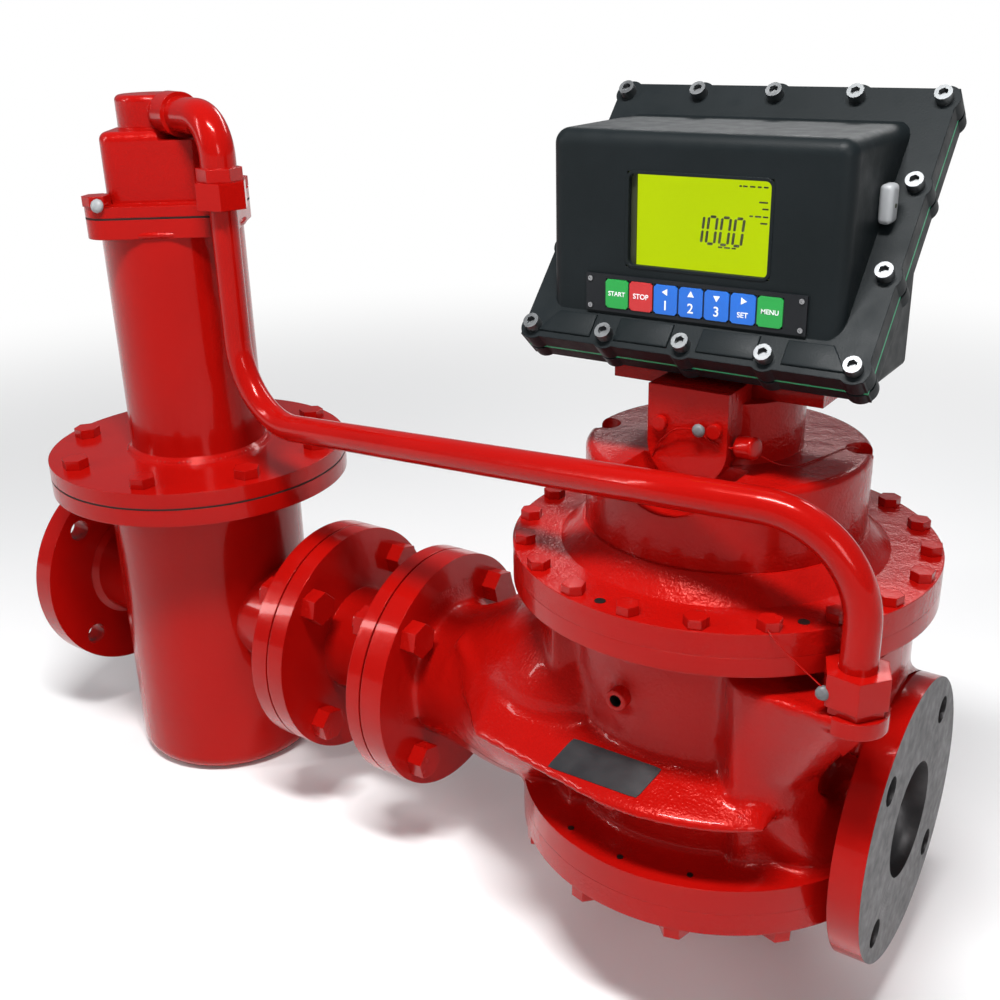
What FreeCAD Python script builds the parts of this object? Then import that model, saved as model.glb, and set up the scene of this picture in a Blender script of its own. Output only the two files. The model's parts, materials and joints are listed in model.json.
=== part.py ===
"""Bulk fuel meter in its pipe line: strainer with air eliminator, non-return valve, meter and register.

The frame: the origin is the centre of the inlet flange's face, +X is the direction of flow, +Z is up
and the flow axis is Z = 0. All sizes are in millimetres and angles in degrees.
"""
import FreeCAD, Part
import math
import os
import re
import Sketcher

V = FreeCAD.Vector
doc = FreeCAD.newDocument("fuel_meter")
sheet = doc.addObject("Spreadsheet::Sheet", "Sizes")

# Driving dimensions: name, value, meaning
SIZES = [
    ("flange_dia", 190.5, "pipe flanges: outside diameter, 3-inch class 150"),
    ("bolt_circle", 152.4, "pipe flanges: bolt circle"),
    ("flange_hole", 19.0, "pipe flanges: bolt hole"),
    ("flange_bore", 77.9, "bore of the pipe line"),
    ("pipe_dia", 88.9, "outside of the 3-inch pipe stubs"),
    ("weld_leg", 5.0, "leg of the fillet welds"),
    ("gasket_thick", 1.6, "flat gaskets of the pipe line"),
    ("gasket_dia", 134.0, "flange gaskets, inside the bolts"),
    ("stud_dia", 16.0, "flange studs"),
    ("nut_across", 24.0, "flange nuts, across flats"),
    ("nut_thick", 13.0, "flange nuts"),
    ("stud_proud", 5.0, "stud end past its nut"),
    ("fit_gap", 0.05, "radial clearance of running and push fits"),
    ("side_gap", 0.3, "clearance between parts that pass each other"),
    ("strainer_axis", 138.0, "inlet face to the vessel's axis"),
    ("strainer_length", 292.2, "inlet face to the vessel's outlet face"),
    ("inlet_flange_thick", 20.0, "inlet flange"),
    ("strainer_flange_thick", 15.6, "outlet flange of the vessel"),
    ("vessel_dia", 165.0, "vessel shell, outside"),
    ("vessel_wall", 6.0, "vessel shell"),
    ("vessel_floor", 8.0, "vessel floor"),
    ("vessel_depth", 143.4, "flow axis to the vessel's underside"),
    ("vessel_edge", 14.0, "rounding of the vessel's bottom edge"),
    ("ring_low", 118.8, "flow axis to the underside of the vessel's ring"),
    ("ring_thick", 14.0, "vessel's top ring"),
    ("cover_dia", 254.0, "vessel's ring and cover"),
    ("plate_thick", 12.5, "cover plate"),
    ("cover_bolt_circle", 216.0, "cover bolts"),
    ("cover_bolt_dia", 12.0, "cover bolts"),
    ("cover_bolt_across", 19.0, "cover bolt heads, across flats"),
    ("cover_bolt_head", 8.0, "cover bolt heads, height"),
    ("bolt_hole_gap", 1.0, "bolt holes, diameter over the bolt"),
    ("basket_dia", 128.0, "strainer basket"),
    ("basket_wall", 1.5, "strainer basket sheet"),
    ("basket_rim", 2.5, "strainer basket's rim and its seat in the ring"),
    ("basket_depth", 250.0, "strainer basket, rim to floor"),
    ("tower_dia", 114.3, "tower pipe, 4-inch"),
    ("tower_wall", 5.0, "tower pipe"),
    ("tower_top", 349.0, "flow axis to the tower flange's top"),
    ("tower_flange_thick", 15.0, "tower flange"),
    ("head_side", 116.0, "square flanges of tower and air head"),
    ("head_corner", 20.0, "square flanges, corner radius"),
    ("head_bolt_circle", 130.0, "air head bolts"),
    ("head_flange_thick", 8.4, "air head's flange"),
    ("head_turn", -9.0, "turn of the air head about the vessel's axis"),
    ("vent_turn", -17.3, "direction of the vent boss from the vessel's axis"),
    ("block_side", 84.0, "air head block"),
    ("block_corner", 14.0, "air head block, corner radius"),
    ("block_top", 413.0, "flow axis to the top of the block"),
    ("dome_dia", 54.0, "air head's raised dome"),
    ("dome_shift", 12.0, "dome, off the head's axis"),
    ("dome_top", 438.0, "flow axis to the top of the dome"),
    ("head_cavity_dia", 64.0, "air head, inside"),
    ("head_cavity_top", 402.0, "flow axis to the roof of the head's cavity"),
    ("vent_height", 424.0, "flow axis to the vent passage"),
    ("vent_boss_dia", 30.0, "vent boss"),
    ("vent_boss_reach", 20.0, "head axis to the vent boss face"),
    ("vent_bore", 14.0, "vent passage"),
    ("seat_dia", 18.0, "vent seat insert"),
    ("seat_bore", 7.0, "vent seat orifice"),
    ("seat_long", 10.0, "vent seat insert, length"),
    ("float_dia", 86.0, "float"),
    ("float_long", 88.0, "float, height"),
    ("float_edge", 20.0, "float, rounding"),
    ("float_drop", 22.0, "tower top to the float's top, float down"),
    ("float_travel", 8.0, "float, rise from its stop to the seat"),
    ("stem_dia", 8.0, "float stem"),
    ("guide_thick", 3.0, "float guide plate"),
    ("elbow_dia", 27.0, "vent elbow, outside"),
    ("elbow_collar", 34.0, "collar of the vent elbow"),
    ("collar_long", 20.0, "collar of the vent elbow, length"),
    ("elbow_bend", 28.0, "vent elbow, bend radius"),
    ("adaptor_across", 30.0, "adaptor below the elbow, across flats"),
    ("adaptor_top", 389.0, "flow axis to the adaptor's top"),
    ("adaptor_thick", 10.0, "adaptor"),
    ("tube_dia", 21.0, "vent tube"),
    ("tube_wall", 2.0, "vent tube"),
    ("tube_bend", 60.0, "vent tube, bend radius"),
    ("tube_near_reach", 96.0, "vessel axis to the tube's first leg"),
    ("tube_near_low", 189.0, "first leg's lower corner"),
    ("tube_far_high", 242.5, "last leg's upper corner"),
    ("tube_knee_x", 14.5, "meter axis to the knee that leads the tube round the drum, along X"),
    ("tube_knee_y", -109.0, "meter axis to the tube's knee, along Y"),
    ("tube_knee_z", 242.0, "flow axis to the tube's knee"),
    ("tube_knee_bend", 150.0, "vent tube, bend radius at its knee"),
    ("fitting_clear", 22.1, "top ring's edge to the tube's last leg"),
    ("fitting_angle", -38.1, "direction of the tube's last leg from the meter axis"),
    ("upper_nut_across", 36.0, "upper union nut, across flats"),
    ("upper_nut_long", 20.0, "upper union nut"),
    ("lower_nut_across", 34.0, "lower union nut, across flats"),
    ("lower_nut_long", 20.0, "lower union nut"),
    ("fitting_across", 30.0, "fitting on the meter, across flats"),
    ("fitting_long", 5.0, "fitting on the meter, height"),
    ("fitting_pad_top", 132.0, "flow axis to the fitting's pad"),
    ("fitting_pad_dia", 38.0, "the fitting's pad on the casting"),
    ("fitting_pad_thick", 10.0, "the fitting's pad on the casting"),
    ("spool_length", 95.0, "non-return valve, face to face"),
    ("spool_flange_in", 15.3, "non-return valve, inlet flange"),
    ("spool_flange_out", 12.5, "non-return valve, outlet flange"),
    ("valve_seat_thick", 10.0, "valve seat ring"),
    ("valve_seat_bore", 56.0, "valve seat ring, bore"),
    ("flap_dia", 62.0, "valve flap"),
    ("flap_thick", 5.0, "valve flap"),
    ("flap_pin_dia", 5.0, "flap pin"),
    ("flap_pin_height", 32.5, "flow axis to the flap pin"),
    ("flap_knuckle_dia", 9.0, "knuckle of the flap"),
    ("flap_knuckle_width", 17.0, "knuckle of the flap"),
    ("seat_lug_width", 5.0, "lugs of the seat ring"),
    ("meter_inlet_reach", 245.6, "meter's inlet face to its axis"),
    ("meter_outlet_reach", 140.0, "meter's axis to its outlet face"),
    ("meter_flange_in", 19.5, "meter's inlet flange"),
    ("meter_flange_out", 20.0, "meter's outlet flange"),
    ("body_bore", 190.0, "meter casting, bore"),
    ("core_dia", 204.0, "meter casting, wall of the recesses"),
    ("body_top", 155.5, "flow axis to the casting's top face"),
    ("top_ring_dia", 276.4, "casting's top ring and the top cover"),
    ("top_ring_thick", 12.2, "casting's top ring"),
    ("body_low", 28.0, "flow axis to the casting's lower face"),
    ("low_ring_dia", 268.0, "casting's lower ring and the bottom cover"),
    ("low_ring_thick", 18.0, "casting's lower ring"),
    ("volute_dia", 250.0, "outlet and inlet bulges of the casting"),
    ("volute_top", 130.0, "flow axis to the top of the bulges"),
    ("volute_half_angle", 61.0, "outlet bulge, half angle"),
    ("inlet_bulge_dia", 236.0, "inlet bulge of the casting"),
    ("inlet_bulge_angle", 50.0, "inlet bulge, half angle"),
    ("lower_bulge_dia", 224.0, "bulges below the belt"),
    ("lower_bulge_angle", 58.0, "bulges below the belt, half angle"),
    ("step_angle", 3.0, "how far the side of a bulge leans back at its foot"),
    ("belt_tip_x", 122.0, "meter axis to the belt's tip beside the inlet neck, along X"),
    ("belt_tip_y", 120.0, "meter axis to the belt's tip, along Y"),
    ("belt_end_x", 192.0, "meter axis to the belt's end inside the inlet neck"),
    ("belt_end_y", 44.0, "half width of the belt's end inside the inlet neck"),
    ("port_boss_x", -17.6, "upper port's boss, from the meter axis"),
    ("port_boss_z", 95.5, "flow axis to the upper port"),
    ("drain_boss_x", -22.0, "lower port's boss, from the meter axis"),
    ("drain_boss_z", 18.0, "flow axis to the lower port"),
    ("boss_dia", 16.0, "port bosses"),
    ("boss_proud", 3.0, "port bosses, proud of the recess wall"),
    ("boss_long", 10.0, "port bosses"),
    ("shoulder_ring_dia", 276.4, "top ring that the shoulder's outlines are drawn beside"),
    ("shoulder_foot", 60.0, "flow axis to the foot of the shoulder that carries the fitting"),
    ("bolt_room_dia", 30.0, "room for the nuts behind the outlet flange"),
    ("bolt_room_long", 26.0, "room for the nuts behind the outlet flange"),
    ("belt_dia", 282.0, "belt, outside"),
    ("belt_low", 36.0, "flow axis to the belt's underside"),
    ("belt_thick", 5.0, "belt's edge"),
    ("belt_rise", 17.0, "slope of the belt's top"),
    ("inlet_neck_dia", 108.0, "inlet neck at its flange"),
    ("outlet_neck_dia", 116.0, "outlet neck at its flange"),
    ("seal_ring_dia", 204.0, "seal ring under the top cover, outside"),
    ("seal_ring_width", 4.0, "seal ring"),
    ("seal_ring_deep", 2.5, "seal ring"),
    ("cover_ring_thick", 15.1, "top cover's ring"),
    ("cover_foot_edge", 32.2, "top cover, its edge to the foot of its raised part"),
    ("cover_seat_height", 185.0, "flow axis to the seat of the gear housing"),
    ("meter_bolt_edge", 8.2, "top cover bolts, in from the ring's edge"),
    ("meter_bolt_count", 20, "top cover bolts"),
    ("meter_bolt_dia", 8.0, "top cover bolts"),
    ("meter_bolt_across", 13.0, "top cover bolt heads, across flats"),
    ("meter_bolt_head", 6.0, "top cover bolt heads"),
    ("bottom_cover_thick", 16.0, "bottom cover's ring"),
    ("dish_dia", 224.0, "bottom cover's dish"),
    ("dish_deep", 18.0, "bottom cover's dish, below its ring"),
    ("bottom_bolt_circle", 250.0, "bottom cover bolts"),
    ("bottom_bolt_across", 17.0, "bottom cover bolt heads"),
    ("bottom_bolt_head", 8.0, "bottom cover bolt heads"),
    ("rotor_pitch", 34.0, "rotors and timing gears, pitch radius"),
    ("rotor_gap", 0.25, "clearance on the rotors' outline"),
    ("rotor_long", 119.4, "rotors, height"),
    ("end_gap", 0.3, "clearance at each end of a rotor"),
    ("bearing_plate_thick", 12.0, "bearing plates"),
    ("chamber_gap", 0.3, "chamber in the casting's bore, radial"),
    ("chamber_port_width", 44.0, "chamber ports"),
    ("chamber_port_tall", 50.0, "chamber ports"),
    ("rotor_shaft_dia", 16.0, "rotor shafts"),
    ("bush_wall", 3.0, "rotor bushes"),
    ("timing_module", 4.0, "timing gears, module"),
    ("timing_gear_thick", 11.0, "timing gears"),
    ("drive_module", 2.0, "output gears, module"),
    ("drive_gear_thick", 8.0, "output gears"),
    ("gear_backlash", 0.4, "backlash of each gear pair"),
    ("output_shaft_dia", 12.0, "output shaft"),
    ("drum_dia", 180.0, "gear housing"),
    ("drum_top", 237.0, "flow axis to the drum's top"),
    ("drum_edge", 5.0, "drum's top edge"),
    ("drum_cavity_dia", 150.0, "gear housing, inside"),
    ("drum_cavity_top", 210.0, "flow axis to the cavity's roof"),
    ("neck_dia", 95.0, "neck of the gear housing"),
    ("neck_top", 275.0, "flow axis to the neck's top"),
    ("cable_bore", 20.0, "cable passage in the neck"),
    ("scoop_dia", 80.0, "hollow in the drum round the adjuster"),
    ("scoop_height", 256.0, "flow axis to the hollow's centre"),
    ("scoop_reach", 46.0, "meter axis to the hollow's back wall"),
    ("adjuster_width", 52.0, "adjuster cover"),
    ("adjuster_centre", 251.0, "flow axis to the adjuster's round end"),
    ("adjuster_top", 286.0, "flow axis to the adjuster's top"),
    ("adjuster_face", 60.0, "meter axis to the adjuster cover's face"),
    ("adjuster_cover_thick", 5.0, "adjuster cover"),
    ("cover_screw_dia", 9.0, "adjuster cover's screw heads"),
    ("notch_dia", 22.0, "screw notches on the drum's edge"),
    ("notch_reach", 84.0, "meter axis to the screw notches"),
    ("notch_deep", 14.0, "screw notches"),
    ("pulse_wheel_dia", 70.0, "pulse wheel on the output shaft"),
    ("pulse_wheel_thick", 3.0, "pulse wheel"),
    ("base_width", 138.0, "register base, along the flow"),
    ("base_front", 24.0, "meter axis to the base's front edge"),
    ("base_back", 58.0, "meter axis to the base's back edge"),
    ("base_thick", 8.0, "register base"),
    ("register_tilt", 47.5, "tilt of the register's joint"),
    ("joint_y", -2.5, "register joint, place along Y"),
    ("joint_z", 370.1, "register joint, height"),
    ("front_flange_thick", 12.0, "register's front flange"),
    ("register_gasket_thick", 1.8, "register's gasket"),
    ("rear_flange_thick", 9.0, "register's rear flange"),
    ("register_width", 214.0, "register flange, between the lugs"),
    ("register_tall", 187.0, "register flange, along the joint"),
    ("lug_radius", 9.0, "bolt lugs"),
    ("lug_x", 100.0, "outermost bolts from the middle"),
    ("lug_y", 86.5, "bolts of the upper and lower edge"),
    ("lug_side_y", 28.8, "bolts of the sides"),
    ("front_y", -60.0, "register's front face"),
    ("front_rise", 59.9, "register joint to the register's top"),
    ("front_width", 182.0, "register's front box"),
    ("front_shift", -3.0, "middle of the front box from the meter axis"),
    ("front_edge", 9.0, "front box, rounding"),
    ("housing_wall", 4.5, "register housings, wall"),
    ("rear_width", 180.0, "register's rear box"),
    ("rear_span", 152.0, "rear box, opening along the joint"),
    ("rear_knee_y", -20.0, "rear box, where its underside turns level"),
    ("rear_back_y", 62.0, "rear box, back face"),
    ("rear_top", 426.0, "flow axis to the rear box's top"),
    ("screw_dia", 6.0, "register screws"),
    ("screw_head_dia", 10.0, "register screw heads"),
    ("screw_head_tall", 6.0, "register screw heads"),
    ("screw_socket", 5.0, "hex socket, across flats"),
    ("window_width", 88.0, "window opening"),
    ("window_tall", 54.0, "window opening"),
    ("window_drop", 49.0, "register's top to the window's middle"),
    ("window_x", 1.5, "window's middle along the flow"),
    ("window_lap", 4.0, "glass past its opening, each side"),
    ("window_thick", 3.0, "glass"),
    ("display_thick", 8.0, "display module"),
    ("board_width", 150.0, "circuit board"),
    ("board_tall", 76.0, "circuit board"),
    ("board_thick", 1.6, "circuit board"),
    ("keypad_width", 137.0, "keypad frame"),
    ("keypad_tall", 22.0, "keypad frame"),
    ("keypad_thick", 1.8, "keypad frame"),
    ("keypad_drop", 27.5, "window's lower edge to the keypad's lower edge"),
    ("keypad_x", 0.5, "keypad's middle along the flow"),
    ("key_width", 14.9, "keys"),
    ("key_tall", 17.0, "keys"),
    ("key_pitch", 15.9, "keys, spacing"),
    ("key_gap", 0.15, "keys in their windows"),
    ("key_proud", 0.5, "keys, proud of the frame"),
    ("key_travel", 0.6, "keys, travel"),
    ("key_corner", 1.5, "keys, corner chamfer"),
    ("seal_cap_dia", 18.0, "seal cap on the register's side"),
    ("seal_cap_long", 8.0, "seal cap"),
    ("seal_cap_y", -12.0, "seal cap, place along Y"),
    ("seal_cap_drop", 38.0, "register's top to the seal cap"),
]
NAMES = {name for name, number, meaning in SIZES}
for row, (name, number, meaning) in enumerate(SIZES, start=1):
    sheet.set(f"A{row}", name)
    sheet.set(f"B{row}", str(number))
    sheet.set(f"C{row}", meaning)
    sheet.setAlias(f"B{row}", name)
doc.recompute()

KEY_COUNT = 7
ROTOR_TEETH = 17
PINION_TEETH = 14
OUTPUT_TEETH = 20
# Corners of the shoulder beside the outlet, in plan from the meter axis, at its foot and at its top
SHOULDER_FOOT = ((30, -78), (61, -107), (92, -88), (100, -76), (98, -62), (90, -50))
SHOULDER_TOP = ((30, -78), (58, -110), (118, -117), (143, -107), (143, -86), (100, -62))
# Screws of the adjuster cover: from the meter axis, and above the adjuster's centre
COVER_SCREWS = (("left", -17, 12), ("right", 18.5, 12.5))

# Places that follow from the sizes
BORE = "flange_bore / 2"
VALVE_X = "(strainer_length + gasket_thick)"
METER_X = "(strainer_length + 2 * gasket_thick + spool_length + meter_inlet_reach)"
RING_TOP = "(ring_low + ring_thick)"
PLATE_LOW = "(ring_low + ring_thick + gasket_thick)"
PLATE_TOP = "(ring_low + ring_thick + gasket_thick + plate_thick)"
HEAD_LOW = "(tower_top + gasket_thick)"
HEAD_FLANGE_TOP = "(tower_top + gasket_thick + head_flange_thick)"
TOWER_BORE = "(tower_dia / 2 - tower_wall)"
SPIGOT_LOW = "(adaptor_top - adaptor_thick - 8)"
COVER_TOP = "(body_top + cover_ring_thick)"
ROTOR_LOW = "(bearing_plate_thick - body_low + end_gap)"
UPPER_PLATE_LOW = "(bearing_plate_thick - body_low + rotor_long + 2 * end_gap)"
GEAR_LOW = "(2 * bearing_plate_thick - body_low + rotor_long + 2 * end_gap + 1)"
DRIVE_LOW = "(2 * bearing_plate_thick - body_low + rotor_long + 2 * end_gap + timing_gear_thick + 2)"
WHEEL_LOW = "(cover_seat_height + 8)"
BASE_TOP = "(neck_top + base_thick)"
FRONT_TOP = "(joint_z + front_rise)"
WINDOW_HEIGHT = f"({FRONT_TOP} - window_drop)"
KEYPAD_LOW = f"({WINDOW_HEIGHT} - window_tall / 2 - keypad_drop)"
KEY_BACK = "(-front_y + key_travel + 0.1)"
FITTING_LOW = "fitting_pad_top"
FITTING_REACH = "(top_ring_dia / 2 + fitting_clear)"
METER_BOLTS = "(top_ring_dia / 2 - meter_bolt_edge)"
NUT_LOW = "(fitting_pad_top + fitting_long)"


def tied(formula):
    """Point the names of sizes in a formula at the sheet's cells."""
    return re.sub(r"[a-z]\w*", lambda m: "Sizes." + m[0] if m[0] in NAMES else m[0], formula)


def value(formula):
    """Work out a formula of sizes as a plain number."""
    found = sheet.evalExpression(formula)
    return float(getattr(found, "Value", found))


def polar(radius, angle):
    """X and Y of a point at a radius and an angle."""
    return f"({radius}) * cos({angle})", f"({radius}) * sin({angle})"


def place(piece, x="0", y="0", z="0", turn=None, axis=V(0, 0, 1)):
    """Put a piece at its place, turned about an axis where turn is given."""
    if turn:
        piece.Placement = FreeCAD.Placement(V(0, 0, 0), FreeCAD.Rotation(axis, value(turn)))
        piece.setExpression("Placement.Rotation.Angle", tied(turn))
    for letter, formula in zip("xyz", (x, y, z)):
        piece.setExpression("Placement.Base." + letter, tied(formula))


def new_body(label, x="0", y="0", z="0", turn=None, axis=V(0, 0, 1), group=False):
    """Start a sub-part; a group holds several separate solids."""
    piece = doc.addObject("PartDesign::Body", label)
    piece.Label = label
    piece.AllowCompound = group
    place(piece, x, y, z, turn, axis)
    return piece


def datum(piece, role):
    """An origin plane or axis of a body, by its role."""
    return next(f for f in piece.Origin.OriginFeatures if f.Role == role)


def sketch(piece, name, plane="XY_Plane", lift=None):
    """An empty sketch on an origin plane, lifted along the plane's normal."""
    made = piece.newObject("Sketcher::SketchObject", name)
    made.AttachmentSupport = (datum(piece, plane), [""])
    made.MapMode = "FlatFace"
    if lift:
        made.setExpression("AttachmentOffset.Base.z", tied(lift))
    return made


def bind(drawn, edge, point, letter, formula):
    """Tie one coordinate of a point of a sketch to a formula."""
    number = value(formula)
    if abs(number) < 1e-9:
        line = -2 if letter == "X" else -1
        drawn.addConstraint(Sketcher.Constraint("PointOnObject", edge, point, line))
    elif number > 0:
        which = drawn.addConstraint(Sketcher.Constraint("Distance" + letter, -1, 1, edge, point, number))
        drawn.setExpression(f"Constraints[{which}]", tied(formula))
    else:
        which = drawn.addConstraint(Sketcher.Constraint("Distance" + letter, edge, point, -1, 1, -number))
        drawn.setExpression(f"Constraints[{which}]", f"-({tied(formula)})")


def circle(drawn, x, y, radius):
    """A circle tied to formulas for its centre and radius."""
    centre = V(value(x), value(y), 0)
    edge = drawn.addGeometry(Part.Circle(centre, V(0, 0, 1), value(radius)), False)
    which = drawn.addConstraint(Sketcher.Constraint("Radius", edge, value(radius)))
    drawn.setExpression(f"Constraints[{which}]", tied(radius))
    bind(drawn, edge, 3, "X", x)
    bind(drawn, edge, 3, "Y", y)


def arc_between(start, end, radius, clockwise):
    """The shorter arc of a radius from start to end."""
    chord = end - start
    side = V(-chord.y, chord.x, 0).normalize() * (-1 if clockwise else 1)
    centre = (start + end) / 2 + side * math.sqrt(max(radius ** 2 - (chord.Length / 2) ** 2, 0))
    first, last = (end, start) if clockwise else (start, end)
    a0 = math.atan2(first.y - centre.y, first.x - centre.x)
    a1 = math.atan2(last.y - centre.y, last.x - centre.x)
    a1 += 2 * math.pi if a1 < a0 else 0
    return Part.ArcOfCircle(Part.Circle(centre, V(0, 0, 1), radius), a0, a1)


def profile(drawn, points):
    """A closed outline through points (x, y); a third value on a point bends the edge that leaves
    it to that radius, counter-clockwise, or clockwise where it starts with a minus sign."""
    places = [V(value(p[0]), value(p[1]), 0) for p in points]
    ends = []
    for k, point in enumerate(points):
        start, end = places[k], places[(k + 1) % len(points)]
        if len(point) == 3:
            clockwise = point[2].startswith("-")
            radius = point[2].lstrip("-")
            edge = drawn.addGeometry(arc_between(start, end, value(radius), clockwise), False)
            which = drawn.addConstraint(Sketcher.Constraint("Radius", edge, value(radius)))
            drawn.setExpression(f"Constraints[{which}]", tied(radius))
            ends.append((edge, 2, 1) if clockwise else (edge, 1, 2))
        else:
            edge = drawn.addGeometry(Part.LineSegment(start, end), False)
            ends.append((edge, 1, 2))
    for (edge, first, last), (other, other_first, other_last) in zip(ends, ends[1:] + ends[:1]):
        drawn.addConstraint(Sketcher.Constraint("Coincident", edge, last, other, other_first))
    for (edge, first, last), point in zip(ends, points):
        bind(drawn, edge, first, "X", point[0])
        bind(drawn, edge, first, "Y", point[1])


def hexagon(drawn, x, y, across, turn="0"):
    """A hexagon with two flats square to the direction of turn."""
    corner = f"({across}) / 2 / cos(30)"
    points = [polar(corner, f"({turn}) + {30 + 60 * k}") for k in range(6)]
    profile(drawn, [(f"({x}) + {dx}", f"({y}) + {dy}") for dx, dy in points])


def rounded_square(drawn, side, corner, turn):
    """A square on the axis whose corners point along turn and square to it, rounded."""
    flat, near = f"({side}) / 2", f"(({side}) / 2 - ({corner}))"
    points = []
    for k in range(4):
        angle = f"(({turn}) + {45 + 90 * k})"
        for u, v, bend in ((flat, "-" + near, None), (flat, near, corner)):
            x = f"{u} * cos{angle} - ({v}) * sin{angle}"
            y = f"{u} * sin{angle} + ({v}) * cos{angle}"
            points.append((x, y, bend) if bend else (x, y))
    profile(drawn, points)


def rectangle(drawn, x0, y0, x1, y1):
    """A rectangle between two corners."""
    profile(drawn, [(x0, y0), (x1, y0), (x1, y1), (x0, y1)])


def feature(piece, kind, name, drawn):
    """Add a sketch-based feature to a body."""
    made = piece.newObject("PartDesign::" + kind, name)
    made.Profile = drawn
    return made


def pad(piece, name, drawn, length, back=False, both=False):
    """Extrude a sketch along its normal, against it, or half each way."""
    made = feature(piece, "Pad", name, drawn)
    made.setExpression("Length", tied(length))
    made.Reversed = back
    made.SideType = "Symmetric" if both else "One side"
    return made


def cut(piece, name, drawn, length, ahead=False, both=False):
    """Cut a sketch's outline against its normal, along it, or half each way."""
    made = feature(piece, "Pocket", name, drawn)
    made.setExpression("Length", tied(length))
    made.Reversed = ahead
    made.SideType = "Symmetric" if both else "One side"
    return made


def turned(piece, name, points, about="V_Axis", kind="Revolution"):
    """A turned form: the points are (radius, height), or (x, radius) about the H_Axis."""
    drawn = sketch(piece, name + "_outline", "XZ_Plane")
    profile(drawn, points)
    made = feature(piece, kind, name, drawn)
    made.ReferenceAxis = (drawn, [about])
    made.Angle = 360
    return made


def groove(piece, name, points, about="V_Axis"):
    """A turned cut."""
    return turned(piece, name, points, about, "Groove")


def ring_pattern(piece, name, originals, count, axis="Z_Axis"):
    """Repeat features round an axis of the body."""
    made = piece.newObject("PartDesign::PolarPattern", name)
    made.Originals = originals
    made.Axis = (datum(piece, axis), [""])
    made.Angle = 360
    made.setExpression("Occurrences", tied(str(count)))
    piece.Tip = made
    return made


def rounded(piece, name, base, radius, test):
    """Round the edges of a feature that pass a test."""
    doc.recompute()
    made = piece.newObject("PartDesign::Fillet", name)
    made.Base = (base, [f"Edge{k + 1}" for k, e in enumerate(base.Shape.Edges) if test(e)])
    made.setExpression("Radius", tied(radius))
    return made


def is_circle(edge, radius, height):
    """True for a level circle of this radius and height."""
    curve = edge.Curve
    level = curve.TypeId == "Part::GeomCircle" and abs(curve.Axis.z) > 0.999
    return level and abs(curve.Radius - radius) < 0.01 and abs(curve.Center.z - height) < 0.01


def middle(edge):
    """The middle point of an edge."""
    return edge.valueAt((edge.FirstParameter + edge.LastParameter) / 2)


def block(name, x, y, z, length, width, height):
    """A box between x, y, z and the far corner, all tied to formulas."""
    made = doc.addObject("Part::Box", name)
    made.Label = name
    for key, formula in (("Length", length), ("Width", width), ("Height", height)):
        made.setExpression(key, tied(formula))
    place(made, x, y, z)
    return made


def difference(label, base, tool):
    """A boolean cut that becomes a sub-part."""
    made = doc.addObject("Part::Cut", label)
    made.Label = label
    made.Base = base
    made.Tool = tool
    return made


def fusion(label, shapes):
    """A boolean union."""
    made = doc.addObject("Part::MultiFuse", label)
    made.Label = label
    made.Shapes = shapes
    return made


def flange_face(drawn, bore=None, holes=True):
    """Outline of a four-hole pipe flange."""
    circle(drawn, "0", "0", "flange_dia / 2")
    if bore:
        circle(drawn, "0", "0", bore)
    if holes:
        for k in range(4):
            x, y = polar("bolt_circle / 2", str(45 + 90 * k))
            circle(drawn, x, y, "flange_hole / 2")


def circles(drawn, radius, count, first, size):
    """Equal circles round the origin."""
    for k in range(count):
        x, y = polar(radius, str(first + 360 / count * k))
        circle(drawn, x, y, size)


def bent_pipe(corners, bends, diameter):
    """A round bar along straight runs, joined by an arc of its own radius at each inner corner."""
    edges = []
    here = corners[0]
    for before, corner, after, bend in zip(corners, corners[1:], corners[2:], bends):
        back, ahead = (before - corner).normalize(), (after - corner).normalize()
        half = back.getAngle(ahead) / 2
        inset = bend / math.tan(half)
        first, last = corner + back * inset, corner + ahead * inset
        bisector = (back + ahead).normalize()
        centre = corner + bisector * (bend / math.sin(half))
        edges.append(Part.makeLine(here, first))
        edges.append(Part.Arc(first, centre - bisector * bend, last).toShape())
        here = last
    edges.append(Part.makeLine(here, corners[-1]))
    spine = Part.Wire(edges)
    ring = Part.Wire([Part.makeCircle(diameter / 2, corners[0], corners[1] - corners[0])])
    return spine.makePipeShell([ring], True, False)


# Strainer vessel
def inlet_flange():
    piece = new_body("inlet_flange")
    drawn = sketch(piece, "inlet_flange_face", "YZ_Plane")
    flange_face(drawn, BORE)
    pad(piece, "inlet_flange_plate", drawn, "inlet_flange_thick")


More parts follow.
